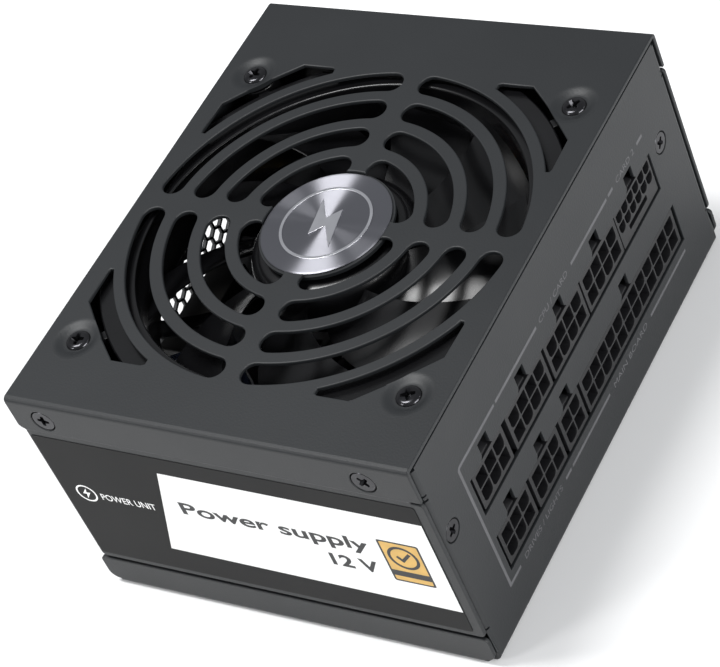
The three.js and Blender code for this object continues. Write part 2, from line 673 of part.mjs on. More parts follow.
// The fine-pitch socket: two rows of small cells and one long slot for the sense contacts.
function fineSocket() {
  const halfZ = CELL + RIM;
  const body = join(block([-FINE.wide / 2, 0, -halfZ], [FINE.wide / 2, SOCKET_DEEP, halfZ]), latch(halfZ));
  const holes = [prism([[-5.1, -3.2], [4.3, -3.2], [4.3, -1.9], [-5.1, -1.9]], 'xz', -1, CELL_DEEP)];
  for (let row = 0; row < 2; row += 1) {
    for (let column = 0; column < FINE.columns; column += 1) {
      const x = (column - (FINE.columns - 1) / 2) * FINE.cell;
      holes.push(cellHole(x, 3.1 - row * FINE.cell, FINE.open, false));
    }
  }
  return cut(body, join(...holes));
}

function addSockets(unit) {
  for (const { name, x, columns } of UPPER_ROW) {
    piece(unit, name, socket(columns), GREY_PLASTIC, [x, SOCKET_FRONT, UPPER_Z]);
  }
  piece(unit, FINE.name, fineSocket(), GREY_PLASTIC, [FINE.x, SOCKET_FRONT, UPPER_Z]);
  for (const { name, x, columns } of LOWER_ROW) {
    piece(unit, name, socket(columns), GREY_PLASTIC, [x, SOCKET_FRONT, LOWER_Z]);
  }
}

// ---- mains inlet and power switch: the origin is on the panel's outer face ----

function inlet() {
  const flange = prism(roundedRectangle(-15.5, -11.8, 15.5, 11.8, [2, 2, 2, 2]), 'xz', 0.05, 1.6);
  const body = join(flange, block([-13.45, -22, -10], [13.45, 0.5, 10]));
  const [halfX, halfZ, slant] = [12.2, 8.3, 5];
  const mouth = [
    [-halfX, -halfZ], [halfX, -halfZ], [halfX, halfZ - slant],
    [halfX - slant, halfZ], [slant - halfX, halfZ], [-halfX, halfZ - slant],
  ];
  const pinHoles = inletPins().map(({ x, z }) => block([x - 1.2, -23, z - 2.2], [x + 1.2, -14, z + 2.2]));
  return cut(body, prism(mouth, 'xz', -15, 2), ...pinHoles);
}

function inletPins() {
  return [
    { name: 'inlet_pin_line', x: -7, z: -1 },
    { name: 'inlet_pin_neutral', x: 7, z: -1 },
    { name: 'inlet_pin_earth', x: 0, z: 3 },
  ];
}

function switchHousing() {
  const flange = prism(roundedRectangle(-7.6, -10.6, 7.6, 10.6, [1, 1, 1, 1]), 'xz', 0.05, 1.6);
  const body = join(flange, block([-6.4, -18, -9.45], [6.4, 0.5, 9.45]));
  return cut(body, block([-4.9, -10, -8.95], [4.9, 2, 8.95]));
}

// The rocker turns about X; its two faces meet in a shallow V and its back is round.
function rocker() {
  const face = ROCKER_PIVOT_IN + 2.4;
  const profile = [
    ...arc(0, 0, 8.2, 64, 122, 5),
    ...arc(0, 0, 8.2, 238, 296, 5),
    [face, -7.3],
    [ROCKER_PIVOT_IN + 1, 0],
    [face, 7.3],
  ];
  return prism(profile, 'yz', -4.6, 4.6);
}

function addMainsParts(unit) {
  const inletPlace = [INLET_X, HALF_Y, INLET_Z];
  piece(unit, 'ac_inlet', inlet(), BLACK_PLASTIC, inletPlace);
  for (const { name, x, z } of inletPins()) {
    const pin = block([-1, -27, -2], [1, -1.5, 2]);
    piece(unit, name, pin, BRASS, [INLET_X + x, HALF_Y, INLET_Z + z]);
  }
  piece(unit, 'switch_housing', switchHousing(), BLACK_PLASTIC, [SWITCH_X, HALF_Y, SWITCH_Z]);
  const pivot = [SWITCH_X, HALF_Y - ROCKER_PIVOT_IN, SWITCH_Z];
  piece(unit, 'switch_rocker', rocker(), BLACK_PLASTIC, pivot, [-ROCKER_TILT * DEG, 0, 0]);
}

// ---- circuit boards and what stands on them ----

function capacitor(radius, tall, sides) {
  const groove = radius * 0.06;
  return lathe([
    [0, 0],
    [radius, 0],
    [radius, tall * 0.08],
    [radius - groove, tall * 0.11],
    [radius, tall * 0.14],
    [radius, tall - groove],
    [radius - groove, tall],
    [0, tall],
  ], sides);
}

function toroid(outer, inner, tall, sides) {
  const ease = (outer - inner) * 0.18;
  return lathe([
    [inner, ease],
    [inner + ease, 0],
    [outer - ease, 0],
    [outer, ease],
    [outer, tall - ease],
    [outer - ease, tall],
    [inner + ease, tall],
    [inner, tall - ease],
    [inner, ease],
  ], sides);
}

// A plate along Y with fins towards one side.
function heatsink({ plate, fins, from, to, count, tall }) {
  const pitch = (to - from) / count;
  const outline = [[plate[1], to], [plate[0], to]];
  for (let i = count - 1; i >= 0; i -= 1) {
    const y = from + (i + 0.5) * pitch;
    outline.push([plate[0], y + 0.8], [fins, y + 0.8], [fins, y - 0.8], [plate[0], y - 0.8]);
  }
  outline.push([plate[0], from], [plate[1], from]);
  return prism(outline, 'xy', PART_Z, PART_Z + tall);
}

function transformerCore() {
  const frame = block([-15, -7, 0], [15, 7, 28]);
  return cut(frame, block([-12.2, -8, 4], [-6, 8, 24]), block([6, -8, 4], [12.2, 8, 24]));
}

function transformerWinding() {
  const wrap = prism(roundedRectangle(-11.7, -12, 11.7, 12, [3, 3, 3, 3]), 'xy', 4.4, 23.6);
  return cut(wrap, block([-6.4, -7.4, 0], [6.4, 7.4, 30]));
}

function smallTransformer() {
  const bobbin = block([-6, -3.5, 0], [6, 3.5, 13]);
  return join(bobbin, prism(roundedRectangle(-4.4, -5.5, 4.4, 5.5, [1, 1, 1, 1]), 'xy', 2.5, 10.5));
}

function addBoards(unit) {
  const spots = BOARD_SCREW_XY.map(([x, y]) => bar('z', [x, y], BOARD_Z - 1, BOARD_TOP + 1, 1.6, 1.6, 12));
  const main = cut(block([-58, -34.5, BOARD_Z], [58, 45.5, BOARD_TOP]), ...spots);
  piece(unit, 'main_board', main, GREEN_BOARD);
  const rings = BOARD_SCREW_XY.map(([x, y]) => bar('z', [x, y], 2, 5, 3.4, 3.4, 12));
  piece(unit, 'insulation_sheet', cut(block([-59, -33, 3], [59, 44.5, 3.4]), ...rings), GREY_PLASTIC);
  const standingBoard = block([-60.4, PLUG_BOARD_Y, 8.4], [54.6, PLUG_BOARD_Y + 1.6, 45.5]);
  piece(unit, 'connector_board', standingBoard, GREEN_BOARD);
  let count = 1;
  for (const [x, y] of BOARD_SCREW_XY) {
    piece(unit, `board_screw_${count}`, boardScrew, STEEL, [x, y, BOARD_TOP + 1.6]);
    count += 1;
  }
}

function addComponents(unit) {
  const on = (x, y) => [x, y, PART_Z];
  piece(unit, 'bulk_capacitor', capacitor(15, 35, 18), { color: 0x22262c, roughness: 0.4 }, on(-40, 25.5));
  piece(unit, 'pfc_choke', toroid(13.5, 6, 14, 16), COPPER, on(-41, -6));
  piece(unit, 'transformer_core', transformerCore(), FERRITE, on(10, 8));
  piece(unit, 'transformer_winding', transformerWinding(), YELLOW_TAPE, on(10, 8));
  piece(unit, 'standby_transformer', smallTransformer(), YELLOW_TAPE, on(0, 28.5));
  piece(unit, 'emi_choke', toroid(8.5, 4, 13, 14), COPPER, on(49, 14));
  piece(unit, 'x_capacitor', block([-14, -4.2, 0], [14, 4.2, 27.5]), YELLOW_TAPE, on(-8, 41.8));
  piece(unit, 'relay', block([-7.5, -6, 0], [7.5, 6, 14]), BLACK_PLASTIC, on(49, -19.5));
  piece(unit, 'fuse', bar('x', [24, PART_Z + 2.8], 7, 27, 2.6, 2.6, 12), STEEL);
  piece(unit, 'bridge_rectifier', block([-2, -8, 4], [2, 8, 24]), BLACK_PLASTIC, on(-9.5, 26));
  const primary = heatsink({ plate: [-14.5, -12], fins: -21.5, from: -20, to: 34, count: 8, tall: 30 });
  piece(unit, 'primary_heatsink', primary, ALUMINIUM);
  const secondary = heatsink({ plate: [31.5, 29], fins: 38, from: -20, to: 21, count: 6, tall: 28 });
  piece(unit, 'secondary_heatsink', secondary, ALUMINIUM);
  for (let i = 0; i < 4; i += 1) {
    const place = on(-20 + 12 * i, -27);
    piece(unit, `output_capacitor_${i + 1}`, capacitor(4.8, 18, 10), PURPLE_SLEEVE, place);
  }
}

const unit = new THREE.Group();
addCase(unit);
addFan(unit);
addSockets(unit);
addMainsParts(unit);
addBoards(unit);
addComponents(unit);

export default unit;
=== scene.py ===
import math

import bmesh
import bpy
from mathutils import Matrix, Vector


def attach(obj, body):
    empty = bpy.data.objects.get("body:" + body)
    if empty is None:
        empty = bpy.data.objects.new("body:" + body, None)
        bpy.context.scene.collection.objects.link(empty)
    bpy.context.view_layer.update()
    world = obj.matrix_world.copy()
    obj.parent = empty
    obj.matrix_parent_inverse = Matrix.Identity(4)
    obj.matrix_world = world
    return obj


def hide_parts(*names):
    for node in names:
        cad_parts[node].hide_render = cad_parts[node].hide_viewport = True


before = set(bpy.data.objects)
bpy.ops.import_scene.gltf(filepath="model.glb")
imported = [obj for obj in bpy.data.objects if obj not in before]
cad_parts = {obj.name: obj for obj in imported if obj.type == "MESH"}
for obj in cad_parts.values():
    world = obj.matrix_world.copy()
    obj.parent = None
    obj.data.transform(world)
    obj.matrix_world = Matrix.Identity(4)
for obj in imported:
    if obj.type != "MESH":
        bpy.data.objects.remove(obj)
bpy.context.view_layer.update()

# ---------------------------------------------------------------------------------------------
# Camera, floor and light.
# A long lens looks down on the corner between the label side and the output sockets, turned a
# little about its own axis. A pale floor, an even sky and four soft boxes light it.
# ---------------------------------------------------------------------------------------------

camera_data = bpy.data.cameras.new("studio_camera")
camera_data.lens = 133.9
camera_data.sensor_width = 36
camera_data.clip_end = 20
camera = bpy.data.objects.new("studio_camera", camera_data)
bpy.context.scene.collection.objects.link(camera)
aim = Vector((0.0061, 0.0139, 0.0155))
azimuth, elevation, roll = map(math.radians, (-44.886, 42.549, -25.34))
distance = 0.6134
backward = Vector((
    math.sin(azimuth) * math.cos(elevation),
    -math.cos(azimuth) * math.cos(elevation),
    math.sin(elevation),
))
level_right = Vector((math.cos(azimuth), math.sin(azimuth), 0))
level_up = backward.cross(level_right)
turn = Matrix((level_right, level_up, backward)).transposed().to_4x4()
camera.matrix_world = Matrix.Translation(aim + backward * distance) @ turn @ Matrix.Rotation(roll, 4, "Z")
bpy.context.scene.camera = camera
bpy.context.scene.view_settings.view_transform = "Standard"

world = bpy.data.worlds.new("studio_sky")
world.use_nodes = True
world.node_tree.nodes["Background"].inputs["Color"].default_value = (0.93, 0.96, 1.0, 1)
world.node_tree.nodes["Background"].inputs["Strength"].default_value = 0.42
bpy.context.scene.world = world


def soft_box(name, place, target, wide, tall, power):
    light = bpy.data.lights.new(name, "AREA")
    light.shape = "RECTANGLE"
    light.size = wide
    light.size_y = tall
    light.energy = power
    lamp = bpy.data.objects.new(name, light)
    bpy.context.scene.collection.objects.link(lamp)
    lamp.location = place
    lamp.rotation_euler = (Vector(target) - Vector(place)).to_track_quat("-Z", "Y").to_euler()


soft_box("soft_box_top", (-0.1, 0.3, 0.92), (0, 0, 0.05), 0.24, 0.42, 8.4)
soft_box("soft_box_sockets", (-0.14, -1.0, 0.5), (0, 0, 0.03), 0.7, 0.3, 10.5)
soft_box("strip_sockets_edge", (0.52, -0.68, 0.56), (0, 0, 0.06), 0.12, 0.12, 0.35)
soft_box("soft_box_label", (-0.7, 0.52, 0.58), (0, 0, 0.06), 0.2, 0.2, 2.2)

floor_mesh = bpy.data.meshes.new("floor")
floor_bm = bmesh.new()
bmesh.ops.create_grid(floor_bm, x_segments=1, y_segments=1, size=6)
floor_bm.to_mesh(floor_mesh)
floor_bm.free()
floor = bpy.data.objects.new("floor", floor_mesh)
bpy.context.scene.collection.objects.link(floor)
floor_paint = bpy.data.materials.new("floor_paint")
floor_paint.use_nodes = True
floor_paint.node_tree.nodes["Principled BSDF"].inputs["Base Color"].default_value = (0.86, 0.86, 0.86, 1)
floor_paint.node_tree.nodes["Principled BSDF"].inputs["Roughness"].default_value = 0.8
floor_mesh.materials.append(floor_paint)

# ---------------------------------------------------------------------------------------------
# Top cover.
# One steel sheet, 1 mm thick: punched flat, with the fan grille in its top plate, then folded
# down over both sides and powder coated black. Four countersunk screws hold it to the tray.
# ---------------------------------------------------------------------------------------------

MM = 0.001
SHEET = 1.0
CUT_EDGE = 0.24
case_x, case_y, case_z = 62.5, 50.0, 63.5


def arc(cx, cy, radius, start, end, steps):
    """Points of an arc, both ends included; angles in degrees."""
    turns = [math.radians(start + (end - start) * i / steps) for i in range(steps + 1)]
    return [(cx + radius * math.cos(t), cy + radius * math.sin(t)) for t in turns]


def circle(cx, cy, radius, steps):
    return arc(cx, cy, radius, 0, 360 - 360 / steps, steps - 1)


def round_box(x0, y0, x1, y1, radius, steps=4):
    """A rectangle with round corners, counter-clockwise."""
    return [
        *arc(x1 - radius, y1 - radius, radius, 0, 90, steps),
        *arc(x0 + radius, y1 - radius, radius, 90, 180, steps),
        *arc(x0 + radius, y0 + radius, radius, 180, 270, steps),
        *arc(x1 - radius, y0 + radius, radius, 270, 360, steps),
    ]


def punched(outline, holes, thick, edge, round_steps=2):
    """A flat plate with holes: its face at z = 0, its back at -thick, its cut edges rounded."""
    curve = bpy.data.curves.new("outline", "CURVE")
    curve.dimensions = "2D"
    curve.fill_mode = "BOTH"
    curve.extrude = thick / 2 - edge
    curve.bevel_depth = edge
    curve.bevel_resolution = round_steps
    curve.offset = -edge
    for loop in [outline, *holes]:
        spline = curve.splines.new("POLY")
        spline.points.add(len(loop) - 1)
        for point, (x, y) in zip(spline.points, loop):
            point.co = (x, y, 0, 1)
        spline.use_cyclic_u = True
    shape = bpy.data.objects.new("outline", curve)
    bpy.context.scene.collection.objects.link(shape)
    mesh = bpy.data.meshes.new_from_object(shape.evaluated_get(bpy.context.evaluated_depsgraph_get()))
    bm = bmesh.new()
    bm.from_mesh(mesh)
    bpy.data.objects.remove(shape)
    bpy.data.meshes.remove(mesh)
    bmesh.ops.remove_doubles(bm, verts=bm.verts, dist=0.0005)
    bmesh.ops.translate(bm, verts=bm.verts, vec=(0, 0, -thick / 2))
    bmesh.ops.recalc_face_normals(bm, faces=bm.faces)
    for face in bm.faces:
        face.smooth = abs(face.normal.z) < 0.999
    return bm


def score(bm, places, axis):
    """Cuts the sheet across at each place, so that it can bend there."""
    for place in places:
        point, normal = Vector(), Vector()
        point[axis] = place
        normal[axis] = 1
        geometry = [*bm.verts, *bm.edges, *bm.faces]
        bmesh.ops.bisect_plane(bm, geom=geometry, dist=1e-4, plane_co=point, plane_no=normal)


def fold(bm, axis, line, radius, way):
    """Bends a flat sheet down by a right angle past a line."""
    length = radius * math.pi / 2
    score(bm, [way * (line + length * i / 5) for i in range(6)], axis)
    for vert in bm.verts:
        past = way * vert.co[axis] - line
        if past <= 1e-5:
            continue
        angle = min(past / radius, math.pi / 2)
        spoke = radius + vert.co.z
        straight = max(past - length, 0)
        vert.co[axis] = way * (line + spoke * math.sin(angle))
        vert.co.z = -(radius - spoke * math.cos(angle) + straight)
    for face in bm.faces:
        past = way * face.calc_center_median()[axis] - line
        if past > 0.02 and abs(face.normal[axis]) < 0.999 and abs(face.normal.z) < 0.999:
            face.smooth = True


def sharpen(bm, limit=38):
    """Smooth shading stops at edges that turn by more than the limit, in degrees."""
    bm.normal_update()
    for edge in bm.edges:
        edge.smooth = len(edge.link_faces) == 2 and edge.calc_face_angle(0) < math.radians(limit)


def place(name, bm, material, body, slot, *nodes):
    """Turns a finished shape from millimetres into a piece of the model."""
    bmesh.ops.scale(bm, verts=bm.verts, vec=(MM, MM, MM))
    sharpen(bm)
    mesh = bpy.data.meshes.new(name)
    bm.to_mesh(mesh)
    bm.free()
    for finish in material if isinstance(material, list) else [material]:
        mesh.materials.append(finish)
    piece = bpy.data.objects.new(name, mesh)
    bpy.context.scene.collection.objects.link(piece)
    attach(piece, body)
    if nodes:
        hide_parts(*nodes)
    return piece


def surface(name, colour, roughness, metallic=0.0, specular=0.5, patch=12, vary=0.12, grain=0.3, bump=0.02,
            coat=0.0, coat_roughness=0.2):
    """A finish whose colour and gloss drift slowly and whose surface has a fine moulded or sprayed grain.
    patch and grain are the sizes of the drift and of the grain, in millimetres."""
    material = bpy.data.materials.new(name)
    material.use_nodes = True
    nodes, links = material.node_tree.nodes, material.node_tree.links
    shader = nodes["Principled BSDF"]
    shader.inputs["Metallic"].default_value = metallic
    shader.inputs["Specular IOR Level"].default_value = specular
    shader.inputs["Coat Weight"].default_value = coat
    shader.inputs["Coat Roughness"].default_value = coat_roughness
    where = nodes.new("ShaderNodeTexCoord")
    drift = nodes.new("ShaderNodeTexNoise")
    drift.inputs["Scale"].default_value = 1 / (patch * MM)
    drift.inputs["Detail"].default_value = 3
    links.new(where.outputs["Object"], drift.inputs["Vector"])
    tint = nodes.new("ShaderNodeValToRGB")
    tint.color_ramp.elements[0].position = 0.3
    tint.color_ramp.elements[1].position = 0.7
    tint.color_ramp.elements[0].color = (*[c * (1 - vary) for c in colour], 1)
    tint.color_ramp.elements[1].color = (*[min(c * (1 + vary), 1) for c in colour], 1)
    links.new(drift.outputs["Fac"], tint.inputs["Fac"])
    links.new(tint.outputs["Color"], shader.inputs["Base Color"])
    gloss = nodes.new("ShaderNodeMapRange")
    gloss.inputs["To Min"].default_value = roughness - 0.05
    gloss.inputs["To Max"].default_value = roughness + 0.05
    links.new(drift.outputs["Fac"], gloss.inputs["Value"])
    links.new(gloss.outputs["Result"], shader.inputs["Roughness"])
    fine = nodes.new("ShaderNodeTexNoise")
    fine.inputs["Scale"].default_value = 1 / (grain * MM)
    fine.inputs["Detail"].default_value = 2
    links.new(where.outputs["Object"], fine.inputs["Vector"])
    relief = nodes.new("ShaderNodeBump")
    relief.inputs["Strength"].default_value = 0.6
    relief.inputs["Distance"].default_value = bump * MM
    links.new(fine.outputs["Fac"], relief.inputs["Height"])
    links.new(relief.outputs["Normal"], shader.inputs["Normal"])
    return material


powder_coat = surface("black_powder_coat", (0.0098, 0.0112, 0.0126), 0.5, specular=0.43, patch=25,
                      vary=0.05, grain=0.45, bump=0.055)

fan_x, fan_y = -2.5, 0.3
COVER_BEND = 1.2
COVER_LOW = 9.8
STEP_Z = 53.9
LABEL_THICK = 0.15
side_start = case_x - COVER_BEND


def down_side(z):
    """How far out on the flat cover sheet a height on its folded side lies."""
    return side_start + COVER_BEND * math.pi / 2 + (case_z - COVER_BEND - z)


def cover_edge():
    """Half of the flat cover's outline, from the socket end to the inlet end."""
    short_end = case_y - 1.2
    relief_y = -case_y + 2.6
    corner = 1.2
    low = down_side(COVER_LOW)
    return [
        (down_side(STEP_Z), -case_y),
        (down_side(STEP_Z), relief_y),
        (down_side(STEP_Z - 0.7), relief_y),
        *arc(down_side(STEP_Z - 0.7) + 1, -case_y + 1, 1, 180, 270, 4),
        *arc(low - corner, -case_y + corner, corner, 270, 360, 5),
        *arc(low - corner, short_end - corner, corner, 0, 90, 5),
        (down_side(STEP_Z), short_end),
        *arc(down_side(STEP_Z + 1.5), case_y - 1.5, 1.5, 12, 90, 5),
    ]


DISH_R, DIMPLE_R = 15.2, 5.5
fan_screw_reach = 82.5 / 2


def grille_slots():
    """The grille's four rings of slots and its corner slots, between four spokes. The first ring opens
    into the dish in the middle, and each corner slot into the dimple of its fan screw."""
    wide, first, pitch, spoke = 5.65, 17, 8.65, 4.35
    half = wide / 2
    middle = []
    start = math.degrees(math.asin((spoke / 2 + half) / first))
    near = (first * math.cos(math.radians(start)), first * math.sin(math.radians(start)))
    meet = math.degrees(math.acos((DISH_R ** 2 - first ** 2 - half ** 2) / (2 * first * half)))
    reach = start - math.degrees(math.asin(half * math.sin(math.radians(meet)) / DISH_R))
    one_turn = [
        *arc(0, 0, DISH_R, -reach, reach, 8)[:-1],
        *arc(*near, half, start + 360 - meet, start + 360, 10)[:-1],
        *arc(0, 0, first + half, start, 90 - start, 16),
        *arc(near[1], near[0], half, 90 - start, 90 - start + meet, 10)[1:-1],
    ]
    for turn in range(4):
        c, s = ((1, 0), (0, 1), (-1, 0), (0, -1))[turn]
        middle += [(x * c - y * s, x * s + y * c) for x, y in one_turn]
    quarter = []
    for ring in range(1, 4):
        radius = first + ring * pitch
        start = math.degrees(math.asin((spoke / 2 + half) / radius))
        end = 90 - start
        steps = max(8, round((end - start) * radius / 70))
        near = (radius * math.cos(math.radians(start)), radius * math.sin(math.radians(start)))
        quarter.append([
            *arc(0, 0, radius + half, start, end, steps),
            *arc(near[1], near[0], half, end, end + 180, 12)[1:-1],
            *arc(0, 0, radius - half, end, start, steps),
            *arc(*near, half, start + 180, start + 360, 12)[1:-1],
        ])
    quarter.append([
        *arc(0, 0, 48.5, 25.9, 64.1, 18),
        (21.3, 44.5),
        (22, 44.75),
        (30.9, 44.5),
        *arc(fan_screw_reach, fan_screw_reach, DIMPLE_R, 198.97, -107.7, 48),
        (40.1, 35.5),
        (45.3, 29.7),
        (45.3, 22),
        (44.9, 21.2),
    ])
    slots = [
        [(fan_x + sx * x, fan_y + sy * y) for x, y in loop]
        for sx in (1, -1) for sy in (1, -1) for loop in quarter
    ]
    return [[(fan_x + x, fan_y + y) for x, y in middle], *slots]


fan_screw_spots = [(fan_x + sx * fan_screw_reach, fan_y + sy * fan_screw_reach)
                   for sx, sy in ((-1, -1), (1, -1), (1, 1), (-1, 1))]
cover_screw_spots = [(-38, 57.6), (41.8, 57.8)]
edge_right = cover_edge()
edge_left = [(-x, y) for x, y in reversed(edge_right)]
cover_holes = [
    *grille_slots(),
    *[circle(side * down_side(z), y, 2.95, 32) for side in (-1, 1) for y, z in cover_screw_spots],
]
cover = punched([*edge_right, *edge_left], cover_holes, SHEET, CUT_EDGE)
for side in (-1, 1):
    fold(cover, 0, side_start, COVER_BEND, side)
bmesh.ops.translate(cover, verts=cover.verts, vec=(0, 0, case_z))
score(cover, [STEP_Z - 0.35, STEP_Z], 2)
for vert in cover.verts:
    if vert.co.z < STEP_Z - 0.01:
        vert.co.x -= math.copysign(LABEL_THICK, vert.co.x)


def spun(profile, steps, place_at=(0, 0, 0)):
    """A turned shape: a profile of (radius, height) points spun about Z, closed where it meets it."""
    bm = bmesh.new()
    verts = [bm.verts.new((r, 0, z)) for r, z in profile]
    edges = [bm.edges.new(pair) for pair in zip(verts, verts[1:])]
    bmesh.ops.spin(bm, geom=[*verts, *edges], cent=(0, 0, 0), axis=(0, 0, 1), dvec=(0, 0, 0),
                   angle=2 * math.pi, steps=steps, use_merge=True, use_duplicate=False)
    bmesh.ops.remove_doubles(bm, verts=bm.verts, dist=1e-4)
    bmesh.ops.recalc_face_normals(bm, faces=bm.faces)
    bmesh.ops.translate(bm, verts=bm.verts, vec=place_at)
    for face in bm.faces:
        face.smooth = True
    return bm


def add(bm, extra, matrix=Matrix.Identity(4)):
    """Moves another shape into this one, placed by a matrix."""
    mesh = bpy.data.meshes.new("part")
    bmesh.ops.transform(extra, matrix=matrix, verts=extra.verts)
    extra.to_mesh(mesh)
    extra.free()
    bm.from_mesh(mesh)
    bpy.data.meshes.remove(mesh)
    return bm


# The drawn dimples under the fan screws, cut off at their corner slots, and the dish in the middle.
for x, y in fan_screw_spots:
    sx, sy = math.copysign(1, x - fan_x), math.copysign(1, y - fan_y)
    dimple = spun([(DIMPLE_R + 0.22, -0.3), (DIMPLE_R + 0.22, 0.006), (DIMPLE_R + 0.05, 0), (5.2, -0.05),
                   (4.8, -0.17), (4.2, -0.42), (3.8, -0.6), (3.45, -0.72), (3.1, -0.78), (2.3, -0.8),
                   (2.3, -1.75), (4.0, -1.75), (DIMPLE_R, -1.0), (DIMPLE_R + 0.22, -0.3)], 64)
    bmesh.ops.bisect_plane(dimple, geom=[*dimple.verts, *dimple.edges, *dimple.faces], dist=1e-4,
                           plane_co=(-3.437 * sx, -3.514 * sy, 0), plane_no=(-0.699 * sx, -0.715 * sy, 0),
                           clear_outer=True)
    bmesh.ops.holes_fill(dimple, edges=[e for e in dimple.edges if len(e.link_faces) == 1], sides=0)
    add(cover, dimple, Matrix.Translation((x, y, case_z)))
dish = [(0, -0.9), (14.9, -0.9), (15.0, -1.0), (DISH_R + 0.2, -1.0), (DISH_R + 0.2, -1.85), (0, -1.85)]
add(cover, spun(dish, 96, (fan_x, fan_y, case_z)))
place("cover_shell", cover, powder_coat, "case", "black_case_paint", "top_cover")

# ---------------------------------------------------------------------------------------------
# Base tray.
# One steel sheet, 1 mm thick: the bottom with its low side lips, the socket panel and the mains
# panel with its honeycomb vent, folded up and powder coated. Both panels have flanges at their
# sides, and four pressed standoffs carry the main board.
# ---------------------------------------------------------------------------------------------

TRAY_BEND = 1.6
FLANGE_BEND = 1.2
bottom_x, bottom_y = case_x - TRAY_BEND, case_y - TRAY_BEND
panel_x = case_x - SHEET - 0.3
panel_top = case_z - SHEET - 0.3
flange_x = panel_x - FLANGE_BEND
UPPER_Z, LOWER_Z = 37.25, 18.8
SOCKET_FRONT = -49.7
CELL = 4.2
CELL_RIM = 0.85
upper_sockets = [(-39.2, 3), (-21.1, 4), (-1.65, 4), (17.4, 4)]
lower_sockets = [(-39.1, 3), (-23.75, 3), (-10.35, 2), (21.75, 12)]
fine_socket_x = 36.4
upper_window = (-47.3, 31.7, 46.3, 42.6)
lower_window = (-47.1, 13.2, 48.6, 24.25)
panel_screw_spots = {"left": (-57.6, 39.7), "right": (51.75, 40.5)}
inlet_x, inlet_z = 38, 19
switch_x, switch_z = 13.5, 19
board_screw_spots = [(-55.2, -30), (55.2, -30), (-55.2, 41), (55.2, 41)]


def up_panel(z):
    """How far out on the flat tray a height on its folded panels lies."""
    return bottom_y + TRAY_BEND * math.pi / 2 + z - TRAY_BEND


def up_lip(z):
    return bottom_x + TRAY_BEND * math.pi / 2 + z - TRAY_BEND


def back_flange(deep):
    return flange_x + FLANGE_BEND * math.pi / 2 + deep - FLANGE_BEND


def tray_quarter(tab_deep):
    """A quarter of the flat tray's outline: the lip, the corner relief, a flange and the screw tab."""
    flange = back_flange(11)
    tab = back_flange(tab_deep)
    return [
        *arc(up_lip(7.9), case_y - 1, 1, 0, 90, 4),
        *arc(up_lip(4), case_y - 2.4, 2.4, 90, 180, 6),
        (bottom_x, case_y - 2.4),
        (bottom_x, up_panel(3.2)),
        (panel_x, up_panel(3.2)),
        (panel_x, up_panel(10.4)),
        (flange_x, up_panel(10.4)),
        (flange_x, up_panel(10.9)),
        (flange - 1, up_panel(10.9)),
        (flange, up_panel(11.9)),
        (flange, up_panel(51.4)),
        (flange - 1, up_panel(52.4)),
        (flange_x, up_panel(52.4)),
        (flange_x, up_panel(52.9)),
        (panel_x, up_panel(52.9)),
        (panel_x, up_panel(53.8)),
        (flange_x, up_panel(53.8)),
        (flange_x, up_panel(54.2)),
        (tab - 1, up_panel(54.2)),
        (tab, up_panel(55.2)),
        (tab, up_panel(60.6)),
        (tab - 1, up_panel(61.6)),
        (flange_x, up_panel(61.6)),
        (flange_x, up_panel(panel_top)),
    ]


def socket_window(x0, z0, x1, z1, latches):
    """The window of one row of sockets, with a flared notch above each latch."""
    half, flare, tall = 1.95, 0.7, 4.1
    loop = [(x0, z0), (x1, z0), (x1, z1)]
    for x in sorted(latches, reverse=True):
        loop += [(x + half + flare, z1), (x + half, z1 + flare), (x + half, z1 + tall),
                 (x - half, z1 + tall), (x - half, z1 + flare), (x - half - flare, z1)]
    return [*loop, (x0, z1)]


def honeycomb():
    """The vent's hexagons, left out round the inlet, the switch and the mounting holes."""
    pitch, flats = 3.7, 3.05
    row = pitch * math.sqrt(0.75)
    cells = []
    for j in range(11):
        z = 6.5 + j * row
        for i in range(-16, 17):
            x = (i + (j % 2) / 2) * pitch
            by_inlet = abs(x - inlet_x) < 17.8 and abs(z - inlet_z) < 14
            by_switch = abs(x - switch_x) < 9.8 and abs(z - switch_z) < 12.8
            by_screw = math.hypot(abs(x) - 56.5, abs(z - case_z / 2) - 25.75) < 6.2
            if abs(x) < 57.6 and not (by_inlet or by_switch or by_screw):
                cells.append(arc(x, z, flats / math.sqrt(3), 30, 330, 5))
    return cells


def on_panel(loops, end):
    """Loops in panel coordinates (x, z), laid on the flat tray's socket end (-1) or mains end (1)."""
    return [[(x, end * up_panel(z)) for x, z in loop] for loop in loops]


quarters = {end: tray_quarter(12.5 if end > 0 else 16.5) for end in (-1, 1)}
tray_outline = [
    *quarters[1],
    *[(-x, y) for x, y in reversed(quarters[1])],
    *[(-x, -y) for x, y in quarters[-1]],
    *[(x, -y) for x, y in reversed(quarters[-1])],
]
socket_holes = [
    socket_window(*upper_window, [x for x, _ in upper_sockets] + [fine_socket_x]),
    socket_window(*lower_window, [x for x, _ in lower_sockets]),
    *[circle(x, z, 2.65, 32) for x, z in panel_screw_spots.values()],
]
mains_holes = [
    round_box(inlet_x - 13.75, inlet_z - 10.3, inlet_x + 13.75, inlet_z + 10.3, 0.6),
    round_box(switch_x - 6.7, switch_z - 9.75, switch_x + 6.7, switch_z + 9.75, 0.6),
    *[circle(sx * 56.5, case_z / 2 + sz * 25.75, 1.6, 24) for sx in (-1, 1) for sz in (-1, 1)],
    *honeycomb(),
]
tab_holes = [
    (side * back_flange(case_y - abs(y)), math.copysign(up_panel(z), y))
    for side in (-1, 1) for y, z in cover_screw_spots
]


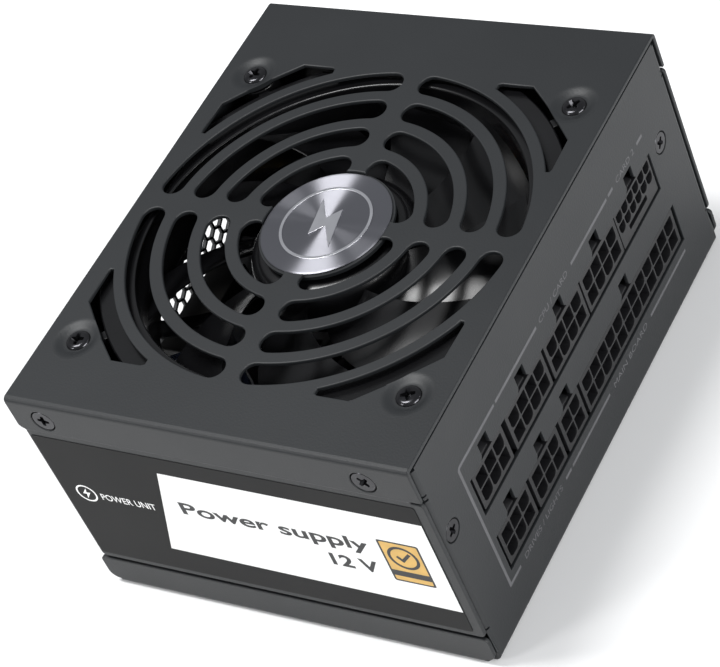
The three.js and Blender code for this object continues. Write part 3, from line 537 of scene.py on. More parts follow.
def fold_where(bm, axis, line, radius, way, wanted):
    """Folds only the part of the sheet that wanted picks, by its vertices."""
    length = radius * math.pi / 2
    score(bm, [way * (line + length * i / 5) for i in range(6)], axis)
    moved = set()
    for vert in bm.verts:
        past = way * vert.co[axis] - line
        if past <= 1e-4 or not wanted(vert.co):
            continue
        angle = min(past / radius, math.pi / 2)
        spoke = radius + vert.co.z
        straight = max(past - length, 0)
        vert.co[axis] = way * (line + spoke * math.sin(angle))
        vert.co.z = -(radius - spoke * math.cos(angle) + straight)
        moved.add(vert)
    bm.normal_update()
    for face in bm.faces:
        slanted = abs(face.normal[axis]) < 0.999 and abs(face.normal.z) < 0.999
        if slanted and all(v in moved for v in face.verts):
            face.smooth = True


tray = punched(tray_outline, [*on_panel(socket_holes, -1), *on_panel(mains_holes, 1),
                              *[circle(x, y, 1.3, 16) for x, y in tab_holes]], SHEET, 0.14, 1)
for side in (-1, 1):
    fold_where(tray, 0, flange_x, FLANGE_BEND, side, lambda co: abs(co.y) > 56)
    fold_where(tray, 0, bottom_x, TRAY_BEND, side, lambda co: abs(co.y) < 50.5)
for end in (-1, 1):
    fold_where(tray, 1, bottom_y, TRAY_BEND, end, lambda co: abs(co.x) < panel_x + 0.05)
bmesh.ops.scale(tray, verts=tray.verts, vec=(1, 1, -1))
bmesh.ops.reverse_faces(tray, faces=tray.faces)
for x, y in board_screw_spots:
    standoff = [(1.4, 0.95), (3.3, 0.95), (2.9, 1.6), (2.7, 5.6), (2.5, 5.7), (1.4, 5.7), (1.4, 0.95)]
    add(tray, spun(standoff, 32, (x, y, 0)))
for sx in (-1, 1):
    for sz in (-1, 1):
        boss = [(1.6, 0.95), (2.6, 0.95), (2.6, 2.3), (2.4, 2.5), (1.6, 2.5), (1.6, 0.95)]
        spot = Matrix.Translation((sx * 56.5, case_y, case_z / 2 + sz * 25.75))
        add(tray, spun(boss, 24), spot @ Matrix.Rotation(math.radians(90), 4, "X"))
place("tray_shell", tray, powder_coat, "case", "black_case_paint", "base_tray")

# ---------------------------------------------------------------------------------------------
# Output sockets.
# Moulded black housings, 4.2 mm pitch, one cavity for each contact. A cavity is square, or has its
# two lower corners cut so that only the right plug fits. Each housing has a ramp for the plug's
# latch on top and stands on the upright board. The last one up is the fine-pitch graphics socket.
# ---------------------------------------------------------------------------------------------

socket_nylon = surface("socket_nylon", (0.006, 0.006, 0.007), 0.42, specular=0.38, patch=6, vary=0.08,
                       grain=0.35, bump=0.012)
contact_plating = surface("contact_plating", (0.07, 0.065, 0.055), 0.4, metallic=1.0, patch=3, vary=0.15,
                          grain=0.2, bump=0.004)
SOCKET_DEEP, CAVITY_DEEP = 12.7, 9.5
facing_out = Matrix.Rotation(math.radians(90), 4, "X")


def lower_corners_cut(columns, row, column):
    """The keying: which cavities have cut corners, counted from the left, the upper row first."""
    phase = (column + {2: 2, 3: 1}.get(columns, 0)) % 4
    cut = phase in (0, 3)
    return cut if row == 0 else not cut


def cavity(x, z, open_wide, cut):
    half = open_wide / 2
    low = 1.15 if cut else 0.22
    return [
        *arc(x + half - 0.22, z + half - 0.22, 0.22, 0, 90, 2),
        *arc(x - half + 0.22, z + half - 0.22, 0.22, 90, 180, 2),
        *arc(x - half + low, z - half + low, low, 180, 270, 5),
        *arc(x + half - low, z - half + low, low, 270, 360, 5),
    ]


def prism(points, length):
    """An outline in XY pulled up along Z, closed, its edges still sharp."""
    bm = bmesh.new()
    face = bm.faces.new([bm.verts.new((x, y, 0)) for x, y in points])
    pulled = bmesh.ops.extrude_face_region(bm, geom=[face])["geom"]
    bmesh.ops.translate(bm, verts=[v for v in pulled if isinstance(v, bmesh.types.BMVert)],
                        vec=(0, 0, length))
    bmesh.ops.recalc_face_normals(bm, faces=bm.faces)
    return bm


def eased(bm, size, segments=2):
    """Rounds every edge of a shape that turns by more than 30 degrees."""
    bm.normal_update()
    sharp = [e for e in bm.edges if len(e.link_faces) == 2 and e.calc_face_angle(0) > math.radians(30)]
    bmesh.ops.bevel(bm, geom=sharp, offset=size, offset_type="OFFSET", affect="EDGES", segments=segments,
                    profile=0.5, material=-1, clamp_overlap=True)
    for face in bm.faces:
        shared = [e for e in face.edges if len(e.link_faces) == 2]
        curved = any(0.02 < e.calc_face_angle(0) < 0.8 for e in shared)
        face.smooth = face.calc_area() < 4 * size * size or curved and len(face.verts) < 5
    return bm


def block(x0, y0, z0, x1, y1, z1):
    bm = bmesh.new()
    bmesh.ops.create_cube(bm, size=1)
    bmesh.ops.scale(bm, verts=bm.verts, vec=(x1 - x0, y1 - y0, z1 - z0))
    bmesh.ops.translate(bm, verts=bm.verts, vec=((x0 + x1) / 2, (y0 + y1) / 2, (z0 + z1) / 2))
    return bm


def housing(half_x, half_z, cavities, latch_top):
    """A socket housing, its face at z = 0 looking along +Z: front with cavities, back and latch ramp."""
    front = punched(round_box(-half_x, -half_z, half_x, half_z, 0.3, 3), cavities, CAVITY_DEEP, 0.09, 1)
    add(front, eased(block(-half_x, -half_z, -SOCKET_DEEP, half_x, half_z, -CAVITY_DEEP), 0.15))
    ramp = [(-0.5, latch_top - 0.3), (-6, latch_top - 0.3), (-6, latch_top + 2.2), (-4.4, latch_top + 2.2),
            (-0.5, latch_top + 0.5)]
    wedge = eased(prism(ramp, 3.4), 0.12)
    sideways = Matrix.Translation((1.7, 0, 0)) @ Matrix.Rotation(math.radians(-90), 4, "Y")
    return add(front, wedge, sideways)


def contact_row(bm, x, z, size, front, back):
    """One square contact pin with a pointed end."""
    pin = block(x - size / 2, z - size / 2, -back, x + size / 2, z + size / 2, -front)
    tip = [v for v in pin.verts if v.co.z > -front - 0.01]
    middle = Vector((x, z, 0))
    for vert in tip:
        vert.co.x += (middle.x - vert.co.x) * 0.5
        vert.co.y += (middle.y - vert.co.y) * 0.5
    return add(bm, pin)


def output_socket(name, x, z, columns):
    half_x, half_z = columns * CELL / 2 + CELL_RIM, CELL + CELL_RIM
    spots = [((column - (columns - 1) / 2) * CELL, (0.5 - row) * CELL, row, column)
             for row in range(2) for column in range(columns)]
    cavities = [cavity(cx, cz, 3.68, lower_corners_cut(columns, row, column)) for cx, cz, row,
                column in spots]
    where = Matrix.Translation((x, SOCKET_FRONT, z)) @ facing_out
    shell = add(bmesh.new(), housing(half_x, half_z, cavities, half_z), where)
    place(name + "_housing", shell, socket_nylon, "case", "black_plastic", name)
    pins = bmesh.new()
    for cx, cz, _, _ in spots:
        contact_row(pins, cx, cz, 1.1, 5.2, CAVITY_DEEP + 0.2)
    place(name + "_contacts", add(bmesh.new(), pins, where), contact_plating, "case", "contact_metal")


for number, (x, columns) in enumerate(upper_sockets, 1):
    output_socket(f"socket_upper_{number}", x, UPPER_Z, columns)
for number, (x, columns) in enumerate(lower_sockets, 1):
    output_socket(f"socket_lower_{number}", x, LOWER_Z, columns)

fine_pitch, fine_half = 3.0, 18.9 / 2
fine_spots = [
    ((column - 2.5) * fine_pitch, 3.1 - row * fine_pitch) for row in range(2) for column in range(6)
]
fine_cavities = [cavity(cx, cz, 2.55, True) for cx, cz in fine_spots]
fine_cavities.append(round_box(-5.1, -3.2, 4.3, -1.9, 0.2, 2))
fine_where = Matrix.Translation((fine_socket_x, SOCKET_FRONT, UPPER_Z)) @ facing_out
fine_shell = add(bmesh.new(), housing(fine_half, CELL + CELL_RIM, fine_cavities, CELL + CELL_RIM),
                 fine_where)
place("socket_upper_5_housing", fine_shell, socket_nylon, "case", "black_plastic", "socket_upper_5")
fine_pins = bmesh.new()
for cx, cz in fine_spots:
    contact_row(fine_pins, cx, cz, 0.8, 5.2, CAVITY_DEEP + 0.2)
for i in range(4):
    contact_row(fine_pins, -3.4 + 2 * i, -2.55, 0.4, 5.2, CAVITY_DEEP + 0.2)
place("socket_upper_5_contacts", add(bmesh.new(), fine_pins, fine_where), contact_plating, "case",
      "contact_metal")

# ---------------------------------------------------------------------------------------------
# Printed frame on the socket panel.
# A fine grey line, screen printed round both rows of sockets, with plain words that say what each
# group of sockets feeds.
# ---------------------------------------------------------------------------------------------

grey_ink = surface("grey_print", (0.085, 0.085, 0.09), 0.5, specular=0.3, patch=4, vary=0.12, grain=0.3,
                   bump=0.01)
INK = 0.02
LINE = 0.8
print_top, print_low, print_left = 48.55, 10.75, -49.5


def printed(outline, thick=INK):
    return punched(outline, [], thick, 0.004, 0)


def words(text, x0, x1, z0, tall, heavy=0.0, thick=INK):
    """Plain lettering that fills the width from x0 to x1 and stands on z0; heavy thickens its strokes."""
    curve = bpy.data.curves.new("words", "FONT")
    curve.body = text
    curve.size = 1
    curve.offset = heavy
    curve.extrude = 0.01
    shape = bpy.data.objects.new("words", curve)
    bpy.context.scene.collection.objects.link(shape)
    mesh = bpy.data.meshes.new_from_object(shape.evaluated_get(bpy.context.evaluated_depsgraph_get()))
    bm = bmesh.new()
    bm.from_mesh(mesh)
    bpy.data.objects.remove(shape)
    bpy.data.meshes.remove(mesh)
    low = [min(v.co[axis] for v in bm.verts) for axis in range(3)]
    high = [max(v.co[axis] for v in bm.verts) for axis in range(3)]
    grow = ((x1 - x0) / (high[0] - low[0]), tall / (high[1] - low[1]), thick / (high[2] - low[2]))
    for vert in bm.verts:
        vert.co = [(vert.co[axis] - low[axis]) * grow[axis] for axis in range(3)]
        vert.co += Vector((x0, z0, -thick))
    return bm


def bar(x0, x1, z, tall):
    return printed([(x0, z - tall / 2), (x1, z - tall / 2), (x1, z + tall / 2), (x0, z + tall / 2)])


frame_print = bmesh.new()
bend_in = 1.2
half_line = LINE / 2
corner = [
    (-32, print_top + half_line),
    *arc(print_left + bend_in, print_top + half_line - bend_in, bend_in, 90, 180, 6),
    (print_left, print_low - half_line),
    (-44, print_low - half_line),
    (-44, print_low + half_line),
    (print_left + LINE, print_low + half_line),
    *arc(print_left + bend_in, print_top + half_line - bend_in, bend_in - LINE, 180, 90, 6),
    (-32, print_top - half_line),
]
add(frame_print, printed(corner))
for x0, x1 in ((-31.2, -10.8), (7.2, 26.3), (27.2, 29.7), (43, 45.9)):
    add(frame_print, bar(x0, x1, print_top, LINE))
for x0, x1 in ((-20.3, -17.4), (-16.6, 3.8), (27.2, 47.6)):
    add(frame_print, bar(x0, x1, print_low, LINE))
for text, x0, x1, z in (("CPU / CARD", -9.2, 5.0, print_top), ("CARD 2", 31.6, 41.2, print_top),
                        ("DRIVES / LIGHTS", -41.6, -22.4, print_low), ("MAIN BOARD", 6.3, 24.8, print_low)):
    add(frame_print, words(text, x0, x1, z - 0.75, 1.5))
on_face = Matrix.Translation((0, -case_y - INK / 2, 0)) @ facing_out
place("socket_panel_print", add(bmesh.new(), frame_print, on_face), grey_ink, "case", "label_print")

# ---------------------------------------------------------------------------------------------
# Screws.
# Black steel with a cross recess: pan heads hold the fan, countersunk heads hold the cover and the
# sockets' board. Their heads lie flush with the sheet or in its dimples.
# ---------------------------------------------------------------------------------------------

black_oxide = surface("black_oxide", (0.035, 0.035, 0.038), 0.2, metallic=0.9, specular=0.6, patch=2,
                      vary=0.2, grain=0.15, bump=0.006)


def cross_head(radius, dome, under, shank, long, flush):
    """A screw whose head's crown is at z = 0: a disc is filled round a cross, and the cross is sunk."""
    arm, half, root = radius * 0.56, radius * 0.13, radius * 0.2
    rim = radius * 0.66
    bm = bmesh.new()
    cross = []
    for quarter in range(4):
        spin = Matrix.Rotation(quarter * math.pi / 2, 3, "Z")
        cross += [spin @ Vector(p) for p in ((arm, -half, 0), (arm, half, 0), (root, root, 0))]
    cross_verts = [bm.verts.new(p) for p in cross]
    rim_verts = [bm.verts.new((x, y, 0)) for x, y in circle(0, 0, rim, 32)]
    loops = [bm.edges.new(pair) for ring in (cross_verts, rim_verts) for pair in zip(ring,
                                                                                     ring[1:] + ring[:1])]
    bmesh.ops.triangle_fill(bm, edges=loops, use_beauty=True)
    inside = [f for f in bm.faces if all(v in cross_verts for v in f.verts)]
    bmesh.ops.delete(bm, geom=inside, context="FACES_ONLY")
    cross_edges = [e for e in bm.edges if all(v in cross_verts for v in e.verts) and len(e.link_faces) == 1]
    sunk = bmesh.ops.extrude_edge_only(bm, edges=cross_edges)["geom"]
    low_verts = [g for g in sunk if isinstance(g, bmesh.types.BMVert)]
    for vert in low_verts:
        vert.co = Vector((vert.co.x * 0.55, vert.co.y * 0.55, -radius * 0.42))
    low_edges = [
        g for g in sunk
        if isinstance(g, bmesh.types.BMEdge) and all(v in low_verts for v in g.verts)
    ]
    bmesh.ops.triangle_fill(bm, edges=low_edges, use_beauty=True)
    outer = [e for e in bm.edges if all(v in rim_verts for v in e.verts) and len(e.link_faces) == 1]
    if flush:
        steps = [(radius - 0.08, -0.01), (radius, -0.1), (shank, under), (shank, -long),
                 (0.02, -long - 0.3)]
    else:
        steps = [(radius * 0.84, -dome * 0.22), (radius * 0.95, -dome * 0.55), (radius, -dome),
                 (radius, -under), (shank, -under), (shank, -long), (0.02, -long - 0.3)]
    if flush:
        steps[2] = (shank, -under)
    for step_radius, height in steps:
        ring = bmesh.ops.extrude_edge_only(bm, edges=outer)["geom"]
        ring_verts = [g for g in ring if isinstance(g, bmesh.types.BMVert)]
        for vert in ring_verts:
            flat = Vector((vert.co.x, vert.co.y, 0)).normalized() * step_radius
            vert.co = Vector((flat.x, flat.y, height))
        outer = [
            g for g in ring
            if isinstance(g, bmesh.types.BMEdge) and all(v in ring_verts for v in g.verts)
        ]
    bmesh.ops.remove_doubles(bm, verts=bm.verts, dist=0.03)
    bmesh.ops.recalc_face_normals(bm, faces=bm.faces)
    for face in bm.faces:
        face.smooth = True
    return bm


def drive_in(name, head, at, towards, turn):
    """Places a screw with its crown at a point, looking along a direction, turned about its axis."""
    look = Vector(towards).to_track_quat("Z", "Y").to_matrix().to_4x4()
    matrix = Matrix.Translation(at) @ look @ Matrix.Rotation(math.radians(turn), 4, "Z")
    place(name + "_cross_head", add(bmesh.new(), head, matrix), black_oxide, "case", "black_screw", name)


for number, (x, y) in enumerate(fan_screw_spots, 1):
    head = cross_head(2.85, 0.9, 1.0, 1.75, 10, flush=False)
    drive_in(f"fan_screw_{number}", head, (x, y, case_z - 0.05), (0, 0, 1), 25 * number)
number = 1
for side in (-1, 1):
    for y, z in cover_screw_spots:
        head = cross_head(2.72, 0, 1.4, 1.15, 5, flush=True)
        drive_in(f"cover_screw_{number}", head, (side * (case_x - 0.12), y, z), (side, 0, 0),
                 12 + 35 * number)
        number += 1
for side, (x, z) in panel_screw_spots.items():
    head = cross_head(2.45, 0, 1.4, 1.15, 6, flush=True)
    drive_in(f"panel_screw_{side}", head, (x, -case_y + 0.12, z), (0, -1, 0), 20 if side == "left" else 50)

# ---------------------------------------------------------------------------------------------
# Labels.
# Printed black film on both sides of the cover. The left one has a white field with plain words,
# a gold badge with a tick and a small round mark; the right one is a plain table, as a rating
# label is.
# ---------------------------------------------------------------------------------------------

label_film = surface("label_film", (0.014, 0.014, 0.014), 0.62, specular=0.16, patch=30, vary=0.03,
                     grain=0.5, bump=0.006)
white_ink = surface("white_print", (0.93, 0.93, 0.92), 0.45, specular=0.3, patch=10, vary=0.02, grain=0.4,
                    bump=0.005)
dark_ink = surface("dark_print", (0.02, 0.02, 0.021), 0.45, specular=0.3, patch=6, vary=0.15, grain=0.4,
                   bump=0.005)
gold_ink = surface("gold_print", (0.62, 0.38, 0.09), 0.38, metallic=0.35, patch=3, vary=0.1, grain=0.3,
                   bump=0.006)
side_print = Matrix(((0, 0, -1, 0), (-1, 0, 0, 0), (0, 1, 0, 0), (0, 0, 0, 1)))
film_face = case_x - 0.03


def on_left_label(shapes, height):
    """Joins flat prints and lays them on the left label; a print's own x runs towards the sockets."""
    sheet = bmesh.new()
    for shape in shapes:
        add(sheet, shape)
    return add(bmesh.new(), sheet, Matrix.Translation((-film_face - height, 0, 0)) @ side_print)


film = punched(round_box(-48.2, 11.3, 47.6, 52, 0.6), [], 0.12, 0.03, 1)
place("side_label_film", add(bmesh.new(), film, Matrix.Translation((-film_face, 0, 0)) @ side_print),
      label_film, "case", "label_print", "side_label")
white_field = [(-25.75, 18.8), (47.4, 18.0), (47.4, 46.5), (-17.0, 46.75)]
place("side_label_field", on_left_label([printed(white_field)], 0.005), white_ink, "case", "label_print")
first_row = words("Power supply", -15.9, 30.9, 32.2, 5.3, 0.022)
second_row = words("12 V", 19.2, 30.9, 26.1, 4.1, 0.03)
badge = (33.8, 25.1, 43.7, 38.7)
badge_edge = punched(round_box(*badge, 0.5, 3), [round_box(34.3, 25.6, 43.2, 38.2, 0.3, 2)], INK, 0.004, 0)
badge_band = printed([(34.3, 27.0), (43.2, 27.0), (43.2, 28.9), (34.3, 28.9)])
badge_ring = punched(circle(38.75, 33.6, 3.7, 48), [circle(38.75, 33.6, 2.95, 48)], INK, 0.004, 0)
tick = printed([(36.9, 33.6), (38.35, 32.0), (40.9, 35.0), (40.3, 35.5), (38.35, 33.25), (37.5, 34.15)])
place("side_label_lettering", on_left_label([first_row, second_row, badge_edge, badge_band, badge_ring,
                                             tick], 0.012),
      dark_ink, "case", "label_print")
place("side_label_badge", on_left_label([printed(round_box(33.9, 25.2, 43.6, 38.6, 0.4, 3))], 0.008),
      gold_ink, "case", "label_print")


def lightning(cx, cz, tall):
    """A plain lightning bolt, for electric power."""
    points = [(0.12, 0.5), (-0.30, -0.06), (-0.03, -0.06), (-0.12, -0.5), (0.30, 0.10), (0.03, 0.10)]
    return [(cx + x * tall, cz + z * tall) for x, z in points]


small_mark = [
    punched(circle(-41.8, 33.7, 2.75, 40), [circle(-41.8, 33.7, 2.3, 40)], INK, 0.004, 0),
    printed(lightning(-41.8, 33.7, 3.6)),
    words("POWER UNIT", -37.9, -23.3, 32.5, 2.1, 0.006),
]
place("side_label_mark", on_left_label(small_mark, 0.005), white_ink, "case", "label_print")

right_print = Matrix(((0, 0, 1, 0), (1, 0, 0, 0), (0, 1, 0, 0), (0, 0, 0, 1)))
rating_film = punched(round_box(-44, 13, 44, 50, 0.6), [], 0.12, 0.03, 1)
place("rating_label_film", add(bmesh.new(), rating_film,
                               Matrix.Translation((film_face, 0, 0)) @ right_print),
      label_film, "case", "label_print", "rating_label")
rating_rows = [18.5, 23.0, 27.5, 32.0, 36.5, 41.0]
rating_lines = [printed([(-41, z - 0.12), (41, z - 0.12), (41, z + 0.12), (-41, z + 0.12)])
                for z in rating_rows]
rating_lines += [printed([(y - 0.12, 18.5), (y + 0.12, 18.5), (y + 0.12, 41), (y - 0.12, 41)])
                 for y in (-41, -24, -8, 8, 24, 41)]
rating_words = (("AC INPUT", "100-240 V", "8 A", "50-60 Hz", "CLASS I"),
                ("DC OUTPUT", "+12 V", "+5 V", "+3.3 V", "-12 V"),
                ("CURRENT", "40 A", "20 A", "20 A", "0.3 A"),
                ("RAIL LOAD", "480 W", "100 W", "100 W", "3.6 W"),
                ("TOTAL", "500 W", "+40 C", "FUSED", "INDOOR"))
for row, texts in enumerate(reversed(rating_words)):
    for text, y in zip(texts, (-39.5, -21.5, -5.5, 10.5, 26.5)):
        rating_lines.append(words(text, y, y + 1.35 * len(text), rating_rows[row] + 1.4, 1.8, 0.004))
rating_lines.append(words("POWER SUPPLY UNIT", -41, -8, 43.4, 3.0, 0.012))
rating_sheet = bmesh.new()
for shape in rating_lines:
    add(rating_sheet, shape)
place("rating_label_table", add(bmesh.new(), rating_sheet,
                                Matrix.Translation((film_face + 0.008, 0, 0)) @ right_print),
      white_ink, "case", "label_print")

# ---------------------------------------------------------------------------------------------
# Medallion.
# A spun aluminium disc with a rolled rim, stuck in the dish over the fan's hub, with a raised ring
# and a raised lightning bolt. Turning left it with fine rings that stretch its highlights.
# ---------------------------------------------------------------------------------------------

MEDAL_R, MEDAL_TOP = 14.85, 63.02
spun_metal = surface("spun_aluminium", (0.26, 0.26, 0.285), 0.36, metallic=1.0, patch=20, vary=0.05,
                     grain=0.12, bump=0.002)
spun_metal.node_tree.nodes["Principled BSDF"].inputs["Anisotropic"].default_value = 1.0
spun_metal.node_tree.nodes["Principled BSDF"].inputs["Anisotropic Rotation"].default_value = 0.25
around = spun_metal.node_tree.nodes.new("ShaderNodeTangent")
around.direction_type = "RADIAL"
around.axis = "Z"
spun_metal.node_tree.links.new(around.outputs["Tangent"],
                               spun_metal.node_tree.nodes["Principled BSDF"].inputs["Tangent"])
disc = [(0, MEDAL_TOP - 0.4), (14.6, MEDAL_TOP - 0.4), (MEDAL_R, MEDAL_TOP - 0.25),
        (MEDAL_R, MEDAL_TOP - 0.08),
        (14.7, MEDAL_TOP + 0.04), (14.3, MEDAL_TOP + 0.06), (13.9, MEDAL_TOP), (0, MEDAL_TOP)]
place("medallion_disc", spun(disc, 96, (fan_x, fan_y, 0)), spun_metal, "case", "spun_metal", "medallion")
relief_metal = surface("polished_relief", (0.62, 0.62, 0.65), 0.3, metallic=1.0, patch=5, vary=0.06,
                       grain=0.15, bump=0.003)
ring_relief = punched(circle(0, 0, 10.6, 72), [circle(0, 0, 9.9, 72)], 0.16, 0.06, 2)
turn_bolt = Matrix.Rotation(math.radians(-45), 4, "Z")
relief = add(bmesh.new(), ring_relief)
add(relief, punched(lightning(0, 0, 15), [], 0.18, 0.07, 2), turn_bolt)
place("medallion_relief", add(bmesh.new(), relief, Matrix.Translation((fan_x, fan_y, MEDAL_TOP + 0.16))),
      relief_metal, "case", "spun_metal")

# ---------------------------------------------------------------------------------------------
# Fan.
# A 92 mm fan, 15 mm thick, moulded in glossy black: a frame with four struts low in its bore, and a
# hub cup with nine swept blades. Its motor sits under the hub, and a thin pair of wires leaves it.
# ---------------------------------------------------------------------------------------------

fan_gloss = surface("fan_gloss_plastic", (0.0035, 0.0035, 0.004), 0.25, specular=0.38, patch=14, vary=0.2,
                    grain=0.5, bump=0.004)
FAN_LOW, FAN_TALL, BORE_R = 46.4, 15.0, 44.2
fan_place = Matrix.Translation((fan_x, fan_y, FAN_LOW))
corner_spots = [(sx * fan_screw_reach, sy * fan_screw_reach) for sx in (-1, 1) for sy in (-1, 1)]
ring_side = [point for turn in range(0, 360, 90) for point in arc(0, 0, 52.6, turn + 29.3, turn + 60.7, 14)]
fan_body = punched(ring_side, [circle(0, 0, BORE_R, 120)], FAN_TALL, 0.5, 3)
for x, y in corner_spots:
    add(fan_body, punched(circle(x, y, 4.6, 40), [circle(x, y, 2.15, 24)], FAN_TALL, 0.3, 2))
    web = Matrix.Rotation(math.atan2(y, x), 4, "Z") @ Matrix.Translation((51.5, 0, 0))
    add(fan_body, eased(block(0, -1.3, -FAN_TALL + 0.3, 4, 1.3, -0.3), 0.2), web)
bmesh.ops.translate(fan_body, verts=fan_body.verts, vec=(0, 0, FAN_TALL))
motor_base = [(0, 0), (16.2, 0), (16.6, 0.3), (16.6, 1.3), (16.2, 1.6), (4, 1.6), (4, 8.3), (3.8, 8.5),
              (1.9, 8.5), (1.9, 0.8), (0, 0.8), (0, 0)]
add(fan_body, spun(motor_base, 64))
for angle in (28, 118, 208, 298):
    strut = block(13.5, 1.0, 0, 46.2, 5.0, 2.2)
    long_edges = [e for e in strut.edges if abs(e.verts[0].co.x - e.verts[1].co.x) > 1]
    bmesh.ops.subdivide_edges(strut, edges=long_edges, cuts=8, use_grid_fill=True)
    for vert in strut.verts:
        vert.co.y += 1.6 * math.sin(math.pi * (vert.co.x - 13.5) / 32.7)
    add(fan_body, eased(strut, 0.45), Matrix.Rotation(math.radians(angle), 4, "Z"))
place("fan_housing", add(bmesh.new(), fan_body, fan_place), fan_gloss, "case", "fan_plastic", "fan_frame")

BLADES, BLADE_ROOT, BLADE_TIP = 9, 18.0, 43.2
rotor = spun([(0, 14), (14.7, 14), *arc(15, 10, 4, 86, 0, 12), (19, 3.4), (17.6, 3.4), (17.6, 12.2),
              (1.5, 12.2), (1.5, 1.6), (0, 1.6)], 96)


def fan_blade(start):
    """A slab bent to the blade's sweep, pitch and camber, thin at both edges."""
    bm = bmesh.new()
    bmesh.ops.create_grid(bm, x_segments=14, y_segments=12, size=0.5)
    pulled = bmesh.ops.extrude_face_region(bm, geom=bm.faces[:])["geom"]
    upper = {g for g in pulled if isinstance(g, bmesh.types.BMVert)}
    for vert in bm.verts:
        along, across = vert.co.x + 0.5, vert.co.y + 0.5
        radius = BLADE_ROOT + along * (BLADE_TIP - BLADE_ROOT)
        angle = math.radians(start + 26 * along - (34 - 4 * along) * across)
        crown = math.sin(math.pi * across)
        thick = 1.5 * (0.3 + 0.7 * crown)
        height = 11 + 1.9 * math.sqrt(along) - (7.2 + 1.4 * along) * across - 1.6 * crown
        height += thick / 2 if vert in upper else -thick / 2
        vert.co = (radius * math.cos(angle), radius * math.sin(angle), height)
    bmesh.ops.recalc_face_normals(bm, faces=bm.faces)
    for face in bm.faces:
        face.smooth = True
    return bm


for i in range(BLADES):
    add(rotor, fan_blade(228.5 + 360 / BLADES * i))
place("fan_wheel", add(bmesh.new(), rotor, fan_place), fan_gloss, "fan", "fan_plastic", "fan_rotor")


def weld_and_ease(node, material, size=0.25, segments=2):
    """A part that keeps its own shape: its corners welded and rounded a little, and a real finish."""
    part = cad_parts[node]
    part.data.materials.clear()
    part.data.materials.append(material)
    weld = part.modifiers.new("weld", "WELD")
    weld.merge_threshold = 0.00002
    ease = part.modifiers.new("ease", "BEVEL")
    ease.width = size * MM
    ease.segments = segments
    ease.limit_method = "ANGLE"
    ease.angle_limit = math.radians(40)
    ease.harden_normals = True


lacquered_copper = surface("lacquered_copper", (0.50, 0.20, 0.07), 0.35, metallic=0.9, patch=2, vary=0.2,
                           grain=0.4, bump=0.03)
weld_and_ease("fan_stator", lacquered_copper)


def smooth_route(points, per_span):
    """Points along a smooth curve through given points."""
    knots = [Vector(p) for p in (points[0], *points, points[-1])]
    path = []
    for i in range(1, len(knots) - 2):
        a, b, c, d = knots[i - 1:i + 3]
        for k in range(per_span):
            t = k / per_span
            path.append(0.5 * (2 * b + (c - a) * t + (2 * a - 5 * b + 4 * c - d) * t * t
                               + (3 * b - a - 3 * c + d) * t * t * t))
    return [*path, knots[-1]]


def tube(path, radius, sides=3, closed=False):
    """A round wire along a path, made from a curve."""
    curve = bpy.data.curves.new("wire", "CURVE")
    curve.dimensions = "3D"
    curve.bevel_depth = radius
    curve.bevel_resolution = sides
    curve.use_fill_caps = True
    spline = curve.splines.new("POLY")
    spline.points.add(len(path) - 1)
    for point, spot in zip(spline.points, path):
        point.co = (*spot, 1)
    spline.use_cyclic_u = closed
    shape = bpy.data.objects.new("wire", curve)
    bpy.context.scene.collection.objects.link(shape)
    mesh = bpy.data.meshes.new_from_object(shape.evaluated_get(bpy.context.evaluated_depsgraph_get()))
    bm = bmesh.new()
    bm.from_mesh(mesh)
    bpy.data.objects.remove(shape)
    bpy.data.meshes.remove(mesh)
    bmesh.ops.remove_doubles(bm, verts=bm.verts, dist=0.0005)
    for face in bm.faces:
        face.smooth = True
    return bm


lead_route = smooth_route([(3, 5, 45.3), (9, 16, 45.3), (15, 28, 45.3), (20, 30, 43), (26.5, 29, 38),
                           (32, 26, 31), (34, 24.8, 22), (34, 24.8, 16.2)], 10)
for wire, (colour, shade) in enumerate((("yellow", (0.55, 0.40, 0.10)), ("black", (0.015, 0.015, 0.016)))):
    twist = []
    for i, spot in enumerate(lead_route):
        angle = i * 0.9 + wire * math.pi
        twist.append(spot + Vector((0.42 * math.cos(angle), 0.42 * math.sin(angle), 0.2 * math.sin(angle))))
    insulation = surface(f"{colour}_insulation", shade, 0.4, specular=0.45, patch=3, vary=0.1, grain=0.4,
                         bump=0.01)
    covers = ["fan_lead"] if wire == 0 else []
    place(f"fan_lead_{colour}", tube(twist, 0.38), insulation, "case", "fan_wire", *covers)
connector_nylon = surface("natural_nylon", (0.62, 0.58, 0.48), 0.5, specular=0.4, patch=3, vary=0.06,
                          grain=0.3, bump=0.01)
weld_and_ease("fan_plug", connector_nylon, 0.3)

# ---------------------------------------------------------------------------------------------
# Mains inlet and switch.
# A moulded inlet with three nickel-plated pins, and a rocker that tips in its own housing. Both snap
# into the mains panel from outside, so their flanges stand proud of it.
# ---------------------------------------------------------------------------------------------

mains_black = surface("mains_black_plastic", (0.022, 0.022, 0.024), 0.38, specular=0.5, patch=8, vary=0.12,
                      grain=0.4, bump=0.012)
nickel = surface("nickel_plate", (0.62, 0.60, 0.55), 0.25, metallic=1.0, patch=2, vary=0.08, grain=0.2,
                 bump=0.003)
facing_back = Matrix.Rotation(math.radians(180), 4, "Z") @ facing_out
FLANGE_PROUD = 1.6


